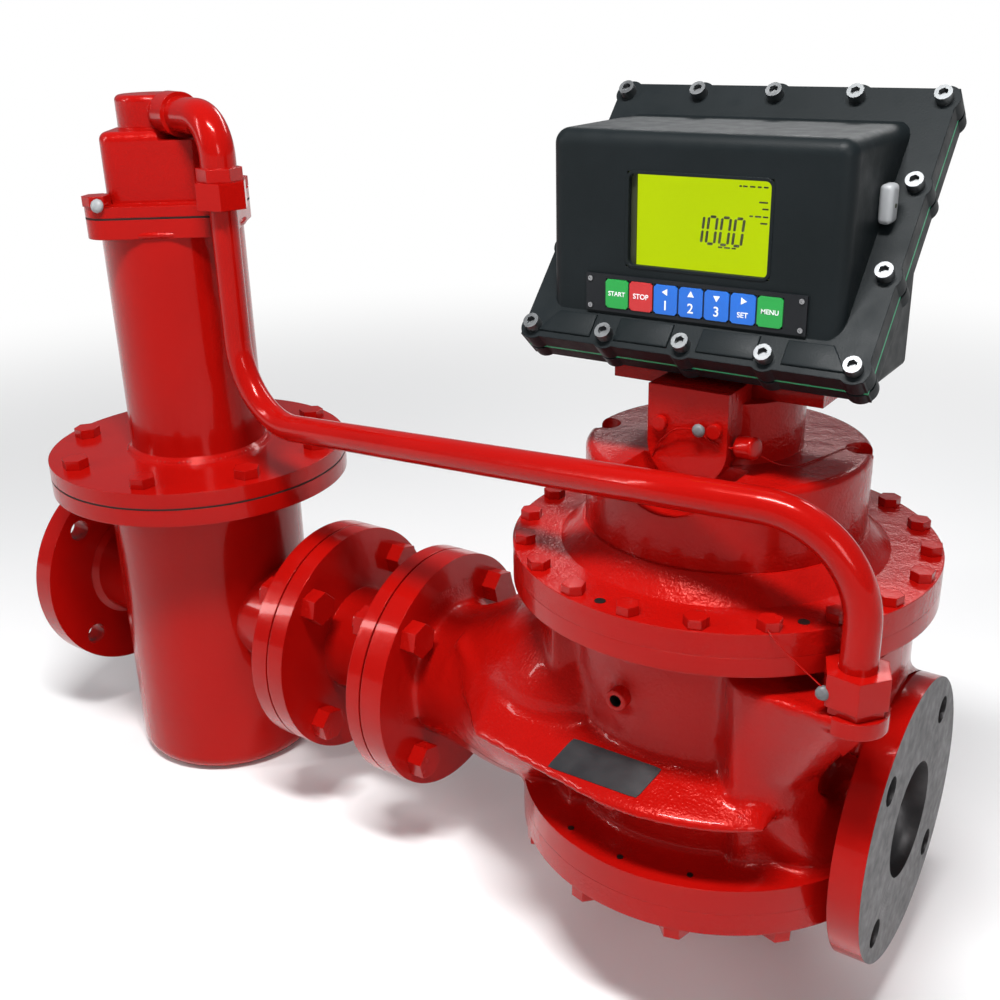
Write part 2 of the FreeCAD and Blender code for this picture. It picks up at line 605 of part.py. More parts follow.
def strainer_vessel():
    piece = new_body("strainer_vessel", x="strainer_axis")
    shell_r = "vessel_dia / 2"
    shell = turned(piece, "vessel_form", [
        ("0", "-vessel_depth"), (shell_r, "-vessel_depth"), (shell_r, "ring_low"),
        ("cover_dia / 2", "ring_low"), ("cover_dia / 2", RING_TOP), ("0", RING_TOP)])
    floor_edge = (value(shell_r), -value("vessel_depth"))
    rounded(piece, "vessel_bottom_edge", shell, "vessel_edge", lambda e: is_circle(e, *floor_edge))
    inlet_back = "(inlet_flange_thick - strainer_axis)"
    outlet_back = "(strainer_length - strainer_flange_thick - strainer_axis)"
    outlet_face = "(strainer_length - strainer_axis)"
    stub = sketch(piece, "inlet_stub_face", "YZ_Plane", inlet_back)
    circle(stub, "0", "0", "pipe_dia / 2")
    pad(piece, "inlet_stub", stub, "strainer_axis - inlet_flange_thick")
    stub = sketch(piece, "outlet_stub_face", "YZ_Plane", outlet_back)
    circle(stub, "0", "0", "pipe_dia / 2")
    pad(piece, "outlet_stub", stub, outlet_back, back=True)
    pipe_r, weld_r = "pipe_dia / 2 - 1", "pipe_dia / 2 + weld_leg"
    turned(piece, "inlet_weld", [
        (inlet_back, pipe_r), (f"{inlet_back} + weld_leg + 1", pipe_r), (inlet_back, weld_r)], "H_Axis")
    turned(piece, "outlet_weld", [
        (outlet_back, pipe_r), (outlet_back, weld_r), (f"{outlet_back} - weld_leg - 1", pipe_r)], "H_Axis")
    face = sketch(piece, "outlet_flange_face", "YZ_Plane", outlet_back)
    flange_face(face)
    pad(piece, "outlet_flange", face, "strainer_flange_thick")
    bore = sketch(piece, "flow_bore_face", "YZ_Plane", outlet_face)
    circle(bore, "0", "0", BORE)
    cut(piece, "flow_bore", bore, "strainer_length - inlet_flange_thick")
    inner = "vessel_dia / 2 - vessel_wall"
    rim = "vessel_dia / 2 + fit_gap"
    groove(piece, "vessel_inside", [
        ("0", "vessel_floor - vessel_depth"), (inner, "vessel_floor - vessel_depth"),
        (inner, f"{RING_TOP} - basket_rim"), (rim, f"{RING_TOP} - basket_rim"), (rim, RING_TOP),
        ("0", RING_TOP)])
    tapped = sketch(piece, "ring_holes_face", "XY_Plane", RING_TOP)
    circles(tapped, "cover_bolt_circle / 2", 8, 22.5, "cover_bolt_dia / 2 + fit_gap")
    cut(piece, "ring_holes", tapped, "ring_thick")


def strainer_basket():
    piece = new_body("strainer_basket", x="strainer_axis")
    outer, inner = "basket_dia / 2", "basket_dia / 2 - basket_wall"
    floor = f"{RING_TOP} - basket_depth"
    turned(piece, "basket_form", [
        ("0", floor), (outer, floor), (outer, f"{RING_TOP} - basket_rim"),
        ("vessel_dia / 2", f"{RING_TOP} - basket_rim"), ("vessel_dia / 2", RING_TOP),
        (inner, RING_TOP), (inner, f"{floor} + basket_wall"), ("0", f"{floor} + basket_wall")])
    window = sketch(piece, "basket_window_face", "YZ_Plane")
    circle(window, "0", "0", BORE)
    cut(piece, "basket_window", window, "basket_dia / 2 + 1")


def cover_gasket():
    piece = new_body("cover_gasket", x="strainer_axis")
    drawn = sketch(piece, "cover_gasket_face", "XY_Plane", RING_TOP)
    circle(drawn, "0", "0", "cover_dia / 2")
    circle(drawn, "0", "0", "vessel_dia / 2 - vessel_wall")
    circles(drawn, "cover_bolt_circle / 2", 8, 22.5, "(cover_bolt_dia + bolt_hole_gap) / 2")
    pad(piece, "cover_gasket_sheet", drawn, "gasket_thick")


def strainer_cover():
    piece = new_body("strainer_cover", x="strainer_axis")
    plate = sketch(piece, "cover_plate_face", "XY_Plane", PLATE_LOW)
    circle(plate, "0", "0", "cover_dia / 2")
    circle(plate, "0", "0", TOWER_BORE)
    circles(plate, "cover_bolt_circle / 2", 8, 22.5, "(cover_bolt_dia + bolt_hole_gap) / 2")
    pad(piece, "cover_plate", plate, "plate_thick")
    flange_low = "(tower_top - tower_flange_thick)"
    weld_r = "tower_dia / 2 + weld_leg"
    turned(piece, "tower_pipe", [
        (TOWER_BORE, PLATE_TOP), (weld_r, PLATE_TOP), ("tower_dia / 2", f"{PLATE_TOP} + weld_leg"),
        ("tower_dia / 2", flange_low), (TOWER_BORE, flange_low)])
    face = sketch(piece, "tower_flange_face", "XY_Plane", flange_low)
    rounded_square(face, "head_side", "head_corner", "head_turn")
    circle(face, "0", "0", TOWER_BORE)
    for k in range(4):
        x, y = polar("head_bolt_circle / 2", f"(head_turn + {90 * k})")
        circle(face, x, y, "cover_bolt_dia / 2 + fit_gap")
    pad(piece, "tower_flange", face, "tower_flange_thick")
    recess = sketch(piece, "guide_recess_face", "XY_Plane", "tower_top")
    circle(recess, "0", "0", f"{TOWER_BORE} + 1.5 + fit_gap")
    cut(piece, "guide_recess", recess, "guide_thick")


def bolt_group(label, circle_radius, count, first, seat, length, diameter, across, head):
    """Hex bolts round the body's Z axis, their heads on a seat and their shanks below it."""
    piece = new_body(label, x="strainer_axis", group=True)
    x, y = polar(circle_radius, first)
    shank = sketch(piece, label + "_shank_face", "XY_Plane", seat)
    circle(shank, x, y, f"({diameter}) / 2")
    shank_pad = pad(piece, label + "_shank", shank, length, back=True)
    cap = sketch(piece, label + "_head_face", "XY_Plane", seat)
    hexagon(cap, x, y, across, first)
    head_pad = pad(piece, label + "_head", cap, head)
    ring_pattern(piece, label + "_ring", [shank_pad, head_pad], count)
    return piece


def strainer_bolts():
    bolt_group("cover_bolts", "cover_bolt_circle / 2", 8, "22.5", PLATE_TOP,
               "plate_thick + gasket_thick + ring_thick - 2", "cover_bolt_dia", "cover_bolt_across",
               "cover_bolt_head")
    bolt_group("head_bolts", "head_bolt_circle / 2", 4, "head_turn", HEAD_FLANGE_TOP,
               "head_flange_thick + gasket_thick + tower_flange_thick", "cover_bolt_dia",
               "cover_bolt_across", "cover_bolt_head")


# Air head on the tower
def head_gasket():
    piece = new_body("head_gasket", x="strainer_axis", turn="head_turn")
    drawn = sketch(piece, "head_gasket_face", "XY_Plane", "tower_top")
    rounded_square(drawn, "head_side", "head_corner", "0")
    circle(drawn, "0", "0", TOWER_BORE)
    circles(drawn, "head_bolt_circle / 2", 4, 0, "(cover_bolt_dia + bolt_hole_gap) / 2")
    pad(piece, "head_gasket_sheet", drawn, "gasket_thick")


def air_head():
    piece = new_body("head_casting", x="strainer_axis", turn="head_turn")
    face = sketch(piece, "head_flange_face", "XY_Plane", HEAD_LOW)
    rounded_square(face, "head_side", "head_corner", "0")
    circles(face, "head_bolt_circle / 2", 4, 0, "(cover_bolt_dia + bolt_hole_gap) / 2")
    pad(piece, "head_flange", face, "head_flange_thick")
    lump = sketch(piece, "head_block_face", "XY_Plane", HEAD_FLANGE_TOP)
    rounded_square(lump, "block_side", "block_corner", "0")
    raised = pad(piece, "head_block", lump, f"block_top - {HEAD_FLANGE_TOP}")
    top = value("block_top")
    rounded(piece, "head_block_edge", raised, "block_corner / 2",
            lambda e: abs(middle(e).z - top) < 0.01)
    dome = sketch(piece, "head_dome_face", "XY_Plane", "block_top - 10")
    circle(dome, "-dome_shift", "0", "dome_dia / 2")
    raised = pad(piece, "head_dome", dome, "dome_top - block_top + 10")
    crown = value("dome_top")
    rounded(piece, "head_dome_edge", raised, "block_corner / 3", lambda e: abs(middle(e).z - crown) < 0.01)
    cavity, seat = "head_cavity_dia / 2", "seat_dia / 2"
    boss = new_body("vent_boss", x="strainer_axis", turn="vent_turn")
    face = sketch(boss, "vent_boss_face", "YZ_Plane", "vent_boss_reach")
    circle(face, "0", "vent_height", "vent_boss_dia / 2")
    pad(boss, "vent_boss_form", face, "vent_boss_reach + 6", back=True)
    inside = new_body("head_inside", x="strainer_axis", turn="vent_turn", group=True)
    turned(inside, "head_cavity", [
        ("0", HEAD_LOW), (cavity, HEAD_LOW), (cavity, "head_cavity_top"), (seat, "head_cavity_top"),
        (seat, "vent_height"), ("0", "vent_height")])
    passage = sketch(inside, "vent_passage_face", "YZ_Plane", "vent_boss_reach")
    circle(passage, "0", "vent_height", "vent_bore / 2")
    pad(inside, "vent_passage", passage, "vent_boss_reach", back=True)
    beside = sketch(inside, "elbow_recess_face", "XY_Plane", "vent_height - elbow_collar / 2 - 1")
    rectangle(beside, "vent_boss_reach", "-elbow_collar / 2 - 3", "head_side / 2", "elbow_collar / 2 + 3")
    pad(inside, "elbow_recess", beside, "elbow_collar")
    difference("air_head", fusion("head_solid", [piece, boss]), inside)


def vent_seat():
    piece = new_body("vent_seat", x="strainer_axis")
    turned(piece, "seat_form", [
        ("seat_bore / 2", "head_cavity_top"), ("seat_dia / 2", "head_cavity_top"),
        ("seat_dia / 2", "head_cavity_top + seat_long"), ("seat_bore / 2", "head_cavity_top + seat_long")])


def float_guide():
    piece = new_body("float_guide", x="strainer_axis")
    drawn = sketch(piece, "guide_face", "XY_Plane", "tower_top - guide_thick")
    circle(drawn, "0", "0", f"{TOWER_BORE} + 1.5")
    circle(drawn, "0", "0", "stem_dia / 2 + fit_gap")
    circles(drawn, "30", 4, 45, "13")
    pad(piece, "guide_plate", drawn, "guide_thick")


def float_and_stem():
    piece = new_body("float", x="strainer_axis")
    top = "(tower_top - float_drop)"
    low = f"({top} - float_long)"
    side = "float_dia / 2"
    stem = "stem_dia / 2"
    pad_top = "(head_cavity_top - float_travel - side_gap)"
    turned(piece, "float_form", [
        ("0", low), (f"{side} - float_edge", low, "float_edge"), (side, f"{low} + float_edge"),
        (side, f"{top} - float_edge", "float_edge"), (f"{side} - float_edge", top), (stem, top),
        (stem, "tower_top"), ("stem_dia", "tower_top"), ("stem_dia", "tower_top + 4"),
        (stem, "tower_top + 4"), (stem, f"{pad_top} - 4"), ("stem_dia", f"{pad_top} - 4"),
        ("stem_dia", pad_top), ("0", pad_top)])


# Vent line from the air head to the meter
def vent_elbow():
    piece = doc.addObject("Part::Feature", "vent_elbow")
    piece.Label = "vent_elbow"
    start, reach = value("vent_boss_reach"), value("tube_near_reach")
    height, top = value("vent_height"), value("adaptor_top")
    low = value(SPIGOT_LOW)
    collar_end = start + value("collar_long")
    bend = [value("elbow_bend")]
    corners = [V(collar_end - 1, 0, height), V(reach, 0, height), V(reach, 0, top - 1)]
    outside = bent_pipe(corners, bend, value("elbow_dia"))
    collar = Part.makeCylinder(value("elbow_collar / 2"), value("collar_long"), V(start, 0, height), V(1, 0, 0))
    corner = value("adaptor_across / 2 / cos(30)")
    ring = [V(reach + corner * math.cos(math.radians(60 * k)), corner * math.sin(math.radians(60 * k)), top)
            for k in range(7)]
    adaptor = Part.Face(Part.makePolygon(ring)).extrude(V(0, 0, -value("adaptor_thick")))
    spigot = Part.makeCylinder(value("tube_dia / 2"), top - low, V(reach, 0, low))
    corners = [V(start - 1, 0, height), V(reach, 0, height), V(reach, 0, low - 1)]
    passage = bent_pipe(corners, bend, value("vent_bore"))
    piece.Shape = outside.fuse([collar, adaptor, spigot]).cut(passage).removeSplitter()
    place(piece, x="strainer_axis", turn="vent_turn")


def vent_tube():
    """The tube drops from the elbow, runs out round the drum and drops to its fitting."""
    piece = doc.addObject("Part::Feature", "vent_tube")
    piece.Label = "vent_tube"
    near_x = value("strainer_axis + tube_near_reach * cos(vent_turn)")
    near_y = value("tube_near_reach * sin(vent_turn)")
    far_x = value(f"{METER_X} + {FITTING_REACH} * cos(fitting_angle)")
    far_y = value(f"{FITTING_REACH} * sin(fitting_angle)")
    corners = [
        V(near_x, near_y, value(SPIGOT_LOW)), V(near_x, near_y, value("tube_near_low")),
        V(value(f"{METER_X} + tube_knee_x"), value("tube_knee_y"), value("tube_knee_z")),
        V(far_x, far_y, value("tube_far_high")), V(far_x, far_y, value(NUT_LOW))]
    bends = [value("tube_bend"), value("tube_knee_bend"), value("tube_bend")]
    outside = bent_pipe(corners, bends, value("tube_dia"))
    inside = bent_pipe(corners, bends, value("tube_dia - 2 * tube_wall"))
    piece.Shape = outside.cut(inside)


def union_nuts():
    piece = new_body("upper_union_nut", x="strainer_axis", turn="vent_turn")
    drawn = sketch(piece, "upper_nut_face", "XY_Plane", "adaptor_top - adaptor_thick")
    hexagon(drawn, "tube_near_reach", "0", "upper_nut_across")
    circle(drawn, "tube_near_reach", "0", "tube_dia / 2 + fit_gap")
    pad(piece, "upper_nut_form", drawn, "upper_nut_long", back=True)
    piece = new_body("lower_union_nut", x=METER_X, turn="fitting_angle")
    drawn = sketch(piece, "lower_nut_face", "XY_Plane", NUT_LOW)
    hexagon(drawn, FITTING_REACH, "0", "lower_nut_across")
    circle(drawn, FITTING_REACH, "0", "tube_dia / 2 + fit_gap")
    pad(piece, "lower_nut_form", drawn, "lower_nut_long")
    piece = new_body("outlet_fitting", x=METER_X, turn="fitting_angle")
    drawn = sketch(piece, "fitting_face", "XY_Plane", FITTING_LOW)
    hexagon(drawn, FITTING_REACH, "0", "fitting_across")
    circle(drawn, FITTING_REACH, "0", "vent_bore / 2")
    pad(piece, "fitting_form", drawn, "fitting_long")


# Non-return valve between the strainer and the meter
def valve_body():
    piece = new_body("valve_body", x=VALVE_X)
    face = sketch(piece, "valve_inlet_face", "YZ_Plane")
    flange_face(face, BORE)
    pad(piece, "valve_inlet_flange", face, "spool_flange_in")
    wall = sketch(piece, "valve_neck_face", "YZ_Plane", "spool_flange_in")
    circle(wall, "0", "0", "pipe_dia / 2")
    circle(wall, "0", "0", BORE)
    pad(piece, "valve_neck", wall, "spool_length - spool_flange_in - spool_flange_out")
    face = sketch(piece, "valve_outlet_face", "YZ_Plane", "spool_length - spool_flange_out")
    flange_face(face, BORE)
    pad(piece, "valve_outlet_flange", face, "spool_flange_out")


def valve_seat():
    piece = new_body("valve_seat", x=VALVE_X)
    drawn = sketch(piece, "valve_seat_face", "YZ_Plane")
    circle(drawn, "0", "0", f"{BORE} - fit_gap")
    circle(drawn, "0", "0", "valve_seat_bore / 2")
    pad(piece, "valve_seat_ring", drawn, "valve_seat_thick")
    for side in ("", "-"):
        inner = f"{side}(flap_knuckle_width / 2 + side_gap)"
        outer = f"{side}(flap_knuckle_width / 2 + side_gap + seat_lug_width)"
        low, high = "(flap_pin_height - flap_pin_dia / 2 - 1)", "(flap_pin_height + flap_pin_dia / 2 + 1)"
        name = "left" if side else "right"
        lug = sketch(piece, name + "_lug_face", "YZ_Plane", "valve_seat_thick")
        rectangle(lug, inner, low, outer, high)
        pad(piece, name + "_lug", lug, "flap_knuckle_dia + side_gap")
    hole = sketch(piece, "pin_hole_face", "XZ_Plane")
    circle(hole, "valve_seat_thick + flap_knuckle_dia / 2 + side_gap", "flap_pin_height", "flap_pin_dia / 2")
    cut(piece, "pin_hole", hole, "flange_bore", both=True)


def flap_pin():
    piece = new_body("flap_pin", x=VALVE_X)
    drawn = sketch(piece, "flap_pin_face", "XZ_Plane")
    circle(drawn, "valve_seat_thick + flap_knuckle_dia / 2 + side_gap", "flap_pin_height", "flap_pin_dia / 2")
    pad(piece, "flap_pin_form", drawn, "flap_knuckle_width + 2 * (side_gap + seat_lug_width)", both=True)


def valve_flap():
    piece = new_body("valve_flap", x=VALVE_X)
    disc = sketch(piece, "flap_face", "YZ_Plane", "valve_seat_thick")
    circle(disc, "0", "0", "flap_dia / 2")
    pad(piece, "flap_disc", disc, "flap_thick")
    for side in ("", "-"):
        beside = sketch(piece, "lug_room_face" + side, "YZ_Plane", "valve_seat_thick")
        rectangle(beside, f"{side}flap_knuckle_width / 2", "flap_pin_height - flap_pin_dia - 3 * side_gap",
                  f"{side}flap_dia / 2", "flap_dia")
        cut(piece, "lug_room" + side, beside, "flap_thick", ahead=True)
    pin_x = "(valve_seat_thick + flap_knuckle_dia / 2 + side_gap)"
    ear = sketch(piece, "flap_ear_face", "XZ_Plane")
    rectangle(ear, "valve_seat_thick + side_gap", "flap_pin_height - flap_knuckle_dia",
              "valve_seat_thick + flap_thick + side_gap", "flap_pin_height")
    pad(piece, "flap_ear", ear, "flap_knuckle_width", both=True)
    knuckle = sketch(piece, "flap_knuckle_face", "XZ_Plane")
    circle(knuckle, pin_x, "flap_pin_height", "flap_knuckle_dia / 2")
    pad(piece, "flap_knuckle", knuckle, "flap_knuckle_width", both=True)
    hole = sketch(piece, "flap_hole_face", "XZ_Plane")
    circle(hole, pin_x, "flap_pin_height", "flap_pin_dia / 2 + fit_gap")
    cut(piece, "flap_hole", hole, "flap_knuckle_width + 2", both=True)


def flange_gaskets():
    piece = new_body("flange_gaskets", group=True)
    for name, start in (("first", "strainer_length"), ("second", f"{VALVE_X} + spool_length")):
        drawn = sketch(piece, name + "_gasket_face", "YZ_Plane", start)
        circle(drawn, "0", "0", "gasket_dia / 2")
        circle(drawn, "0", "0", BORE)
        pad(piece, name + "_gasket", drawn, "gasket_thick")


def flange_bolts():
    piece = new_body("flange_bolts", group=True)
    x, y = polar("bolt_circle / 2", "45")
    joints = (
        ("first", "(strainer_length - strainer_flange_thick)", f"({VALVE_X} + spool_flange_in)"),
        ("second", f"({VALVE_X} + spool_length - spool_flange_out)",
         f"({METER_X} - meter_inlet_reach + meter_flange_in)"))
    parts = []
    for name, low, high in joints:
        for side, seat, back in (("near", low, True), ("far", high, False)):
            nut = sketch(piece, f"{name}_{side}_nut_face", "YZ_Plane", seat)
            hexagon(nut, x, y, "nut_across", "15")
            parts.append(pad(piece, f"{name}_{side}_nut", nut, "nut_thick", back=back))
        over = "nut_thick - stud_proud"
        stud = sketch(piece, name + "_stud_face", "YZ_Plane", f"{low} - {over}")
        circle(stud, x, y, "stud_dia / 2")
        parts.append(pad(piece, name + "_stud", stud, f"{high} - {low} + 2 * ({over})"))
    ring_pattern(piece, "flange_bolt_ring", parts, 4, "X_Axis")


# Meter casting
def neck_loft(name, sections):
    """A lofted neck through ellipses square to the flow: x, centre height, half width, half height."""
    rings = []
    for k, (x, z, wide, tall) in enumerate(sections):
        ring = doc.addObject("Part::Ellipse", f"{name}_ring_{k + 1}")
        ring.setExpression("MajorRadius", tied(wide))
        ring.setExpression("MinorRadius", tied(tall))
        ring.Placement = FreeCAD.Placement(V(0, 0, 0), FreeCAD.Rotation(V(0, 1, 0), V(0, 0, 1), V(1, 0, 0)))
        for letter, formula in (("x", f"{METER_X} + {x}"), ("z", z)):
            ring.setExpression("Placement.Base." + letter, tied(formula))
        rings.append(ring)
    loft = doc.addObject("Part::Loft", name)
    loft.Sections = rings
    loft.Solid = True
    loft.Ruled = False
    return loft


def belt_outline(drawn, radius, tip_x, tip_y):
    """The belt in plan: an arc about the meter axis, then straight to its tip and into the inlet neck."""
    far = polar(radius, "volute_half_angle - 8")
    near = polar(radius, "105")
    end = ("-belt_end_x", "belt_end_y")
    points = [
        (far[0], f"-({far[1]})", f"-({radius})"), (near[0], f"-({near[1]})"), (f"-({tip_x})", f"-({tip_y})"),
        (end[0], "-belt_end_y"), end, (f"-({tip_x})", tip_y),
        (near[0], near[1], f"-({radius})"), (far[0], far[1])]
    profile(drawn, points)


def casting_core():
    """The round middle of the casting with its rings, bulges, belt, flanges and bosses."""
    piece = new_body("casting_core", x=METER_X, group=True)
    low, core = "low_ring_dia / 2", "core_dia / 2"
    low_top = "(low_ring_thick - body_low)"
    turned(piece, "core_form", [
        ("0", "-body_low"), (low, "-body_low"), (low, low_top), (core, low_top),
        (core, "body_top - top_ring_thick"), ("top_ring_dia / 2", "body_top - top_ring_thick"),
        ("top_ring_dia / 2", "body_top"), ("0", "body_top")])
    upper, lower = ("belt_low", "volute_top"), (low_top, "belt_low")
    for name, sign, size, angle, (foot, head) in (
            ("outlet", "", "volute_dia", "volute_half_angle", upper),
            ("inlet", "-", "inlet_bulge_dia", "inlet_bulge_angle", upper),
            ("lower_outlet", "", "lower_bulge_dia", "lower_bulge_angle", lower),
            ("lower_inlet", "-", "lower_bulge_dia", "lower_bulge_angle", lower)):
        outer = polar(f"{size} / 2", angle)
        inner = polar("(core_dia / 2 - 6)", f"{angle} + step_angle")
        drawn = sketch(piece, name + "_bulge_face", "XY_Plane", foot)
        profile(drawn, [
            (f"{sign}({inner[0]})", f"-({inner[1]})"), (f"{sign}({outer[0]})", f"-({outer[1]})", f"{sign}{size} / 2"),
            (f"{sign}({outer[0]})", outer[1]), (f"{sign}({inner[0]})", inner[1])])
        pad(piece, name + "_bulge", drawn, f"{head} - {foot}")
    lip = sketch(piece, "belt_lip_face", "XY_Plane", "belt_low")
    belt_outline(lip, "belt_dia / 2", "belt_tip_x", "belt_tip_y")
    pad(piece, "belt_lip", lip, "belt_thick")
    for name, start, thick, back in (
            ("inlet", "meter_flange_in - meter_inlet_reach", "meter_flange_in", True),
            ("outlet", "meter_outlet_reach - meter_flange_out", "meter_flange_out", False)):
        face = sketch(piece, name + "_meter_flange_face", "YZ_Plane", start)
        flange_face(face)
        pad(piece, name + "_meter_flange", face, thick, back=back)
    return piece


def belt_slope():
    """The sloping top of the belt, from its lip up to the wall of the recess."""
    rings = []
    for name, height, radius, tip_x, tip_y in (
            ("belt_slope_foot", "belt_low + belt_thick", "belt_dia / 2", "belt_tip_x", "belt_tip_y"),
            ("belt_slope_top", "belt_low + belt_thick + belt_rise", "core_dia / 2 + 1", "belt_tip_x", "belt_tip_y - 24")):
        ring = doc.addObject("Sketcher::SketchObject", name)
        belt_outline(ring, radius, tip_x, tip_y)
        place(ring, x=METER_X, z=height)
        rings.append(ring)
    loft = doc.addObject("Part::Loft", "belt_slope")
    loft.Sections = rings
    loft.Solid = True
    loft.Ruled = True
    return loft


def beside_ring(points):
    """Outline points that move out and in with the top ring."""
    grown = value("top_ring_dia / shoulder_ring_dia")
    return [(x * grown, y * grown) for x, y in points]


def ruled_loft(name, levels):
    """A solid between two outlines of straight sides at two heights."""
    rings = []
    for height, corners in levels:
        ring = doc.addObject("Sketcher::SketchObject", f"{name}_{len(rings)}")
        profile(ring, [(str(x), str(y)) for x, y in corners])
        place(ring, x=METER_X, z=height)
        rings.append(ring)
    loft = doc.addObject("Part::Loft", name)
    loft.Sections = rings
    loft.Solid = True
    loft.Ruled = True
    return loft


def meter_body():
    core = casting_core()
    inlet = neck_loft("inlet_neck", [
        ("meter_flange_in - meter_inlet_reach - 1", "0", "inlet_neck_dia / 2", "inlet_neck_dia / 2 - 0.5"),
        ("meter_flange_in - meter_inlet_reach + 40", "8", "inlet_neck_dia / 2 + 12", "inlet_neck_dia / 2 + 6"),
        ("-core_dia / 2 - 15", "36", "core_dia / 2 - 4", "core_dia / 2 - 20"),
        ("-core_dia / 2 + 50", "52", "core_dia / 2 - 8", "core_dia / 2 - 26")])
    outlet = neck_loft("outlet_neck", [
        ("meter_outlet_reach - meter_flange_out + 1", "0", "outlet_neck_dia / 2", "outlet_neck_dia / 2 - 0.5"),
        ("meter_outlet_reach - meter_flange_out - 15", "8", "outlet_neck_dia / 2 + 14", "outlet_neck_dia / 2 + 8"),
        ("core_dia / 2 - 30", "42", "core_dia / 2 - 10", "core_dia / 2 - 20"),
        ("core_dia / 2 - 60", "46", "core_dia / 2 - 8", "core_dia / 2 - 18")])
    trim = new_body("casting_bosses", x=METER_X, group=True)
    for name in ("port_boss", "drain_boss"):
        boss = sketch(trim, name + "_face", "XZ_Plane", "core_dia / 2 + boss_proud")
        circle(boss, name + "_x", name + "_z", "boss_dia / 2")
        pad(trim, name, boss, "boss_long", back=True)
    stand = new_body("fitting_pad", x=METER_X, turn="fitting_angle")
    post = sketch(stand, "fitting_pad_face", "XY_Plane", "fitting_pad_top")
    circle(post, FITTING_REACH, "0", "fitting_pad_dia / 2")
    pad(stand, "fitting_post", post, "fitting_pad_thick", back=True)
    shoulder = ruled_loft("fitting_shoulder", (
        ("shoulder_foot", beside_ring(SHOULDER_FOOT)),
        ("fitting_pad_top - 2", beside_ring(SHOULDER_TOP))))
    solid = fusion("casting_solid", [core, inlet, outlet, belt_slope(), trim, stand, shoulder])
    bores = new_body("casting_bores", x=METER_X, group=True)
    seal_out = "seal_ring_dia / 2"
    turned(bores, "casting_bore", [
        ("0", "-body_low - 1"), ("body_bore / 2", "-body_low - 1"),
        ("body_bore / 2", "body_top - seal_ring_deep"), (seal_out, "body_top - seal_ring_deep"),
        (seal_out, "body_top + 1"), ("0", "body_top + 1")])
    rooms = sketch(bores, "bolt_room_face", "YZ_Plane", "meter_outlet_reach - meter_flange_out")
    circles(rooms, "bolt_circle / 2", 4, 45, "bolt_room_dia / 2")
    pad(bores, "bolt_rooms", rooms, "bolt_room_long", back=True)
    tapped = sketch(bores, "casting_tapped_face", "XY_Plane", "body_top + 1")
    x, y = polar(METER_BOLTS, "90")
    circle(tapped, x, y, "meter_bolt_dia / 2 + fit_gap")
    hole = pad(bores, "casting_tapped", tapped, "top_ring_thick - 1", back=True)
    ring_pattern(bores, "casting_tapped_ring", [hole], "meter_bolt_count")
    port = sketch(bores, "port_hole_face", "XZ_Plane", "core_dia / 2 - 3")
    circle(port, "-17.6", "95.5", "4")
    pad(bores, "port_hole", port, "10")
    drain = sketch(bores, "drain_hole_face", "XZ_Plane", "core_dia / 2 - 3")
    circle(drain, "-22", "18", "3")
    pad(bores, "drain_hole", drain, "10")
    passages = [
        neck_loft("inlet_passage", [
            ("-meter_inlet_reach - 1", "0", BORE, f"{BORE} - 0.1"), ("-low_ring_dia / 2 - 10", "10", "42", "34"),
            ("-core_dia / 2 - 12", "18", "42", "33"), ("-core_dia / 2 + 14", "22", "42", "34")]),
        neck_loft("outlet_passage", [
            ("meter_outlet_reach + 1", "0", BORE, f"{BORE} - 0.1"), ("meter_outlet_reach - 18", "3", "38.5", "35"),
            ("core_dia / 2 + 12", "12", "40", "30"), ("core_dia / 2 - 14", "22", "42", "34")])]
    room = doc.addObject("Part::Cylinder", "cover_room")
    room.setExpression("Radius", tied("low_ring_dia / 2 + side_gap"))
    room.setExpression("Height", tied("flange_dia"))
    place(room, x=METER_X, z="-body_low - flange_dia")
    beside = f"({METER_X} + meter_outlet_reach - meter_flange_out - 2 + side_gap)"
    keep = block("outlet_flange_room", beside, "-flange_dia", "-body_low - 2 * flange_dia",
                 "flange_dia", "2 * flange_dia", "3 * flange_dia")
    tools = [bores, difference("cover_seat_room", room, keep)] + passages
    difference("meter_body", solid, fusion("casting_tools", tools))


def seal_ring():
    piece = new_body("cover_seal_ring", x=METER_X)
    drawn = sketch(piece, "seal_ring_face", "XY_Plane", "body_top - seal_ring_deep")
    circle(drawn, "0", "0", "seal_ring_dia / 2")
    circle(drawn, "0", "0", "seal_ring_dia / 2 - seal_ring_width")
    pad(piece, "seal_ring_form", drawn, "seal_ring_deep")


def top_cover():
    piece = new_body("top_cover", x=METER_X)
    shaft = "output_shaft_dia / 2 + fit_gap"
    turned(piece, "top_cover_form", [
        (shaft, "body_top"), ("top_ring_dia / 2", "body_top"), ("top_ring_dia / 2", COVER_TOP),
        ("top_ring_dia / 2 - cover_foot_edge", COVER_TOP), ("drum_dia / 2 + 2", "cover_seat_height"),
        (shaft, "cover_seat_height")])
    hole = sketch(piece, "top_cover_hole_face", "XY_Plane", COVER_TOP)
    x, y = polar(METER_BOLTS, "90")
    circle(hole, x, y, "(meter_bolt_dia + bolt_hole_gap) / 2")
    one = cut(piece, "top_cover_hole", hole, "cover_ring_thick")
    ring_pattern(piece, "top_cover_holes", [one], "meter_bolt_count")


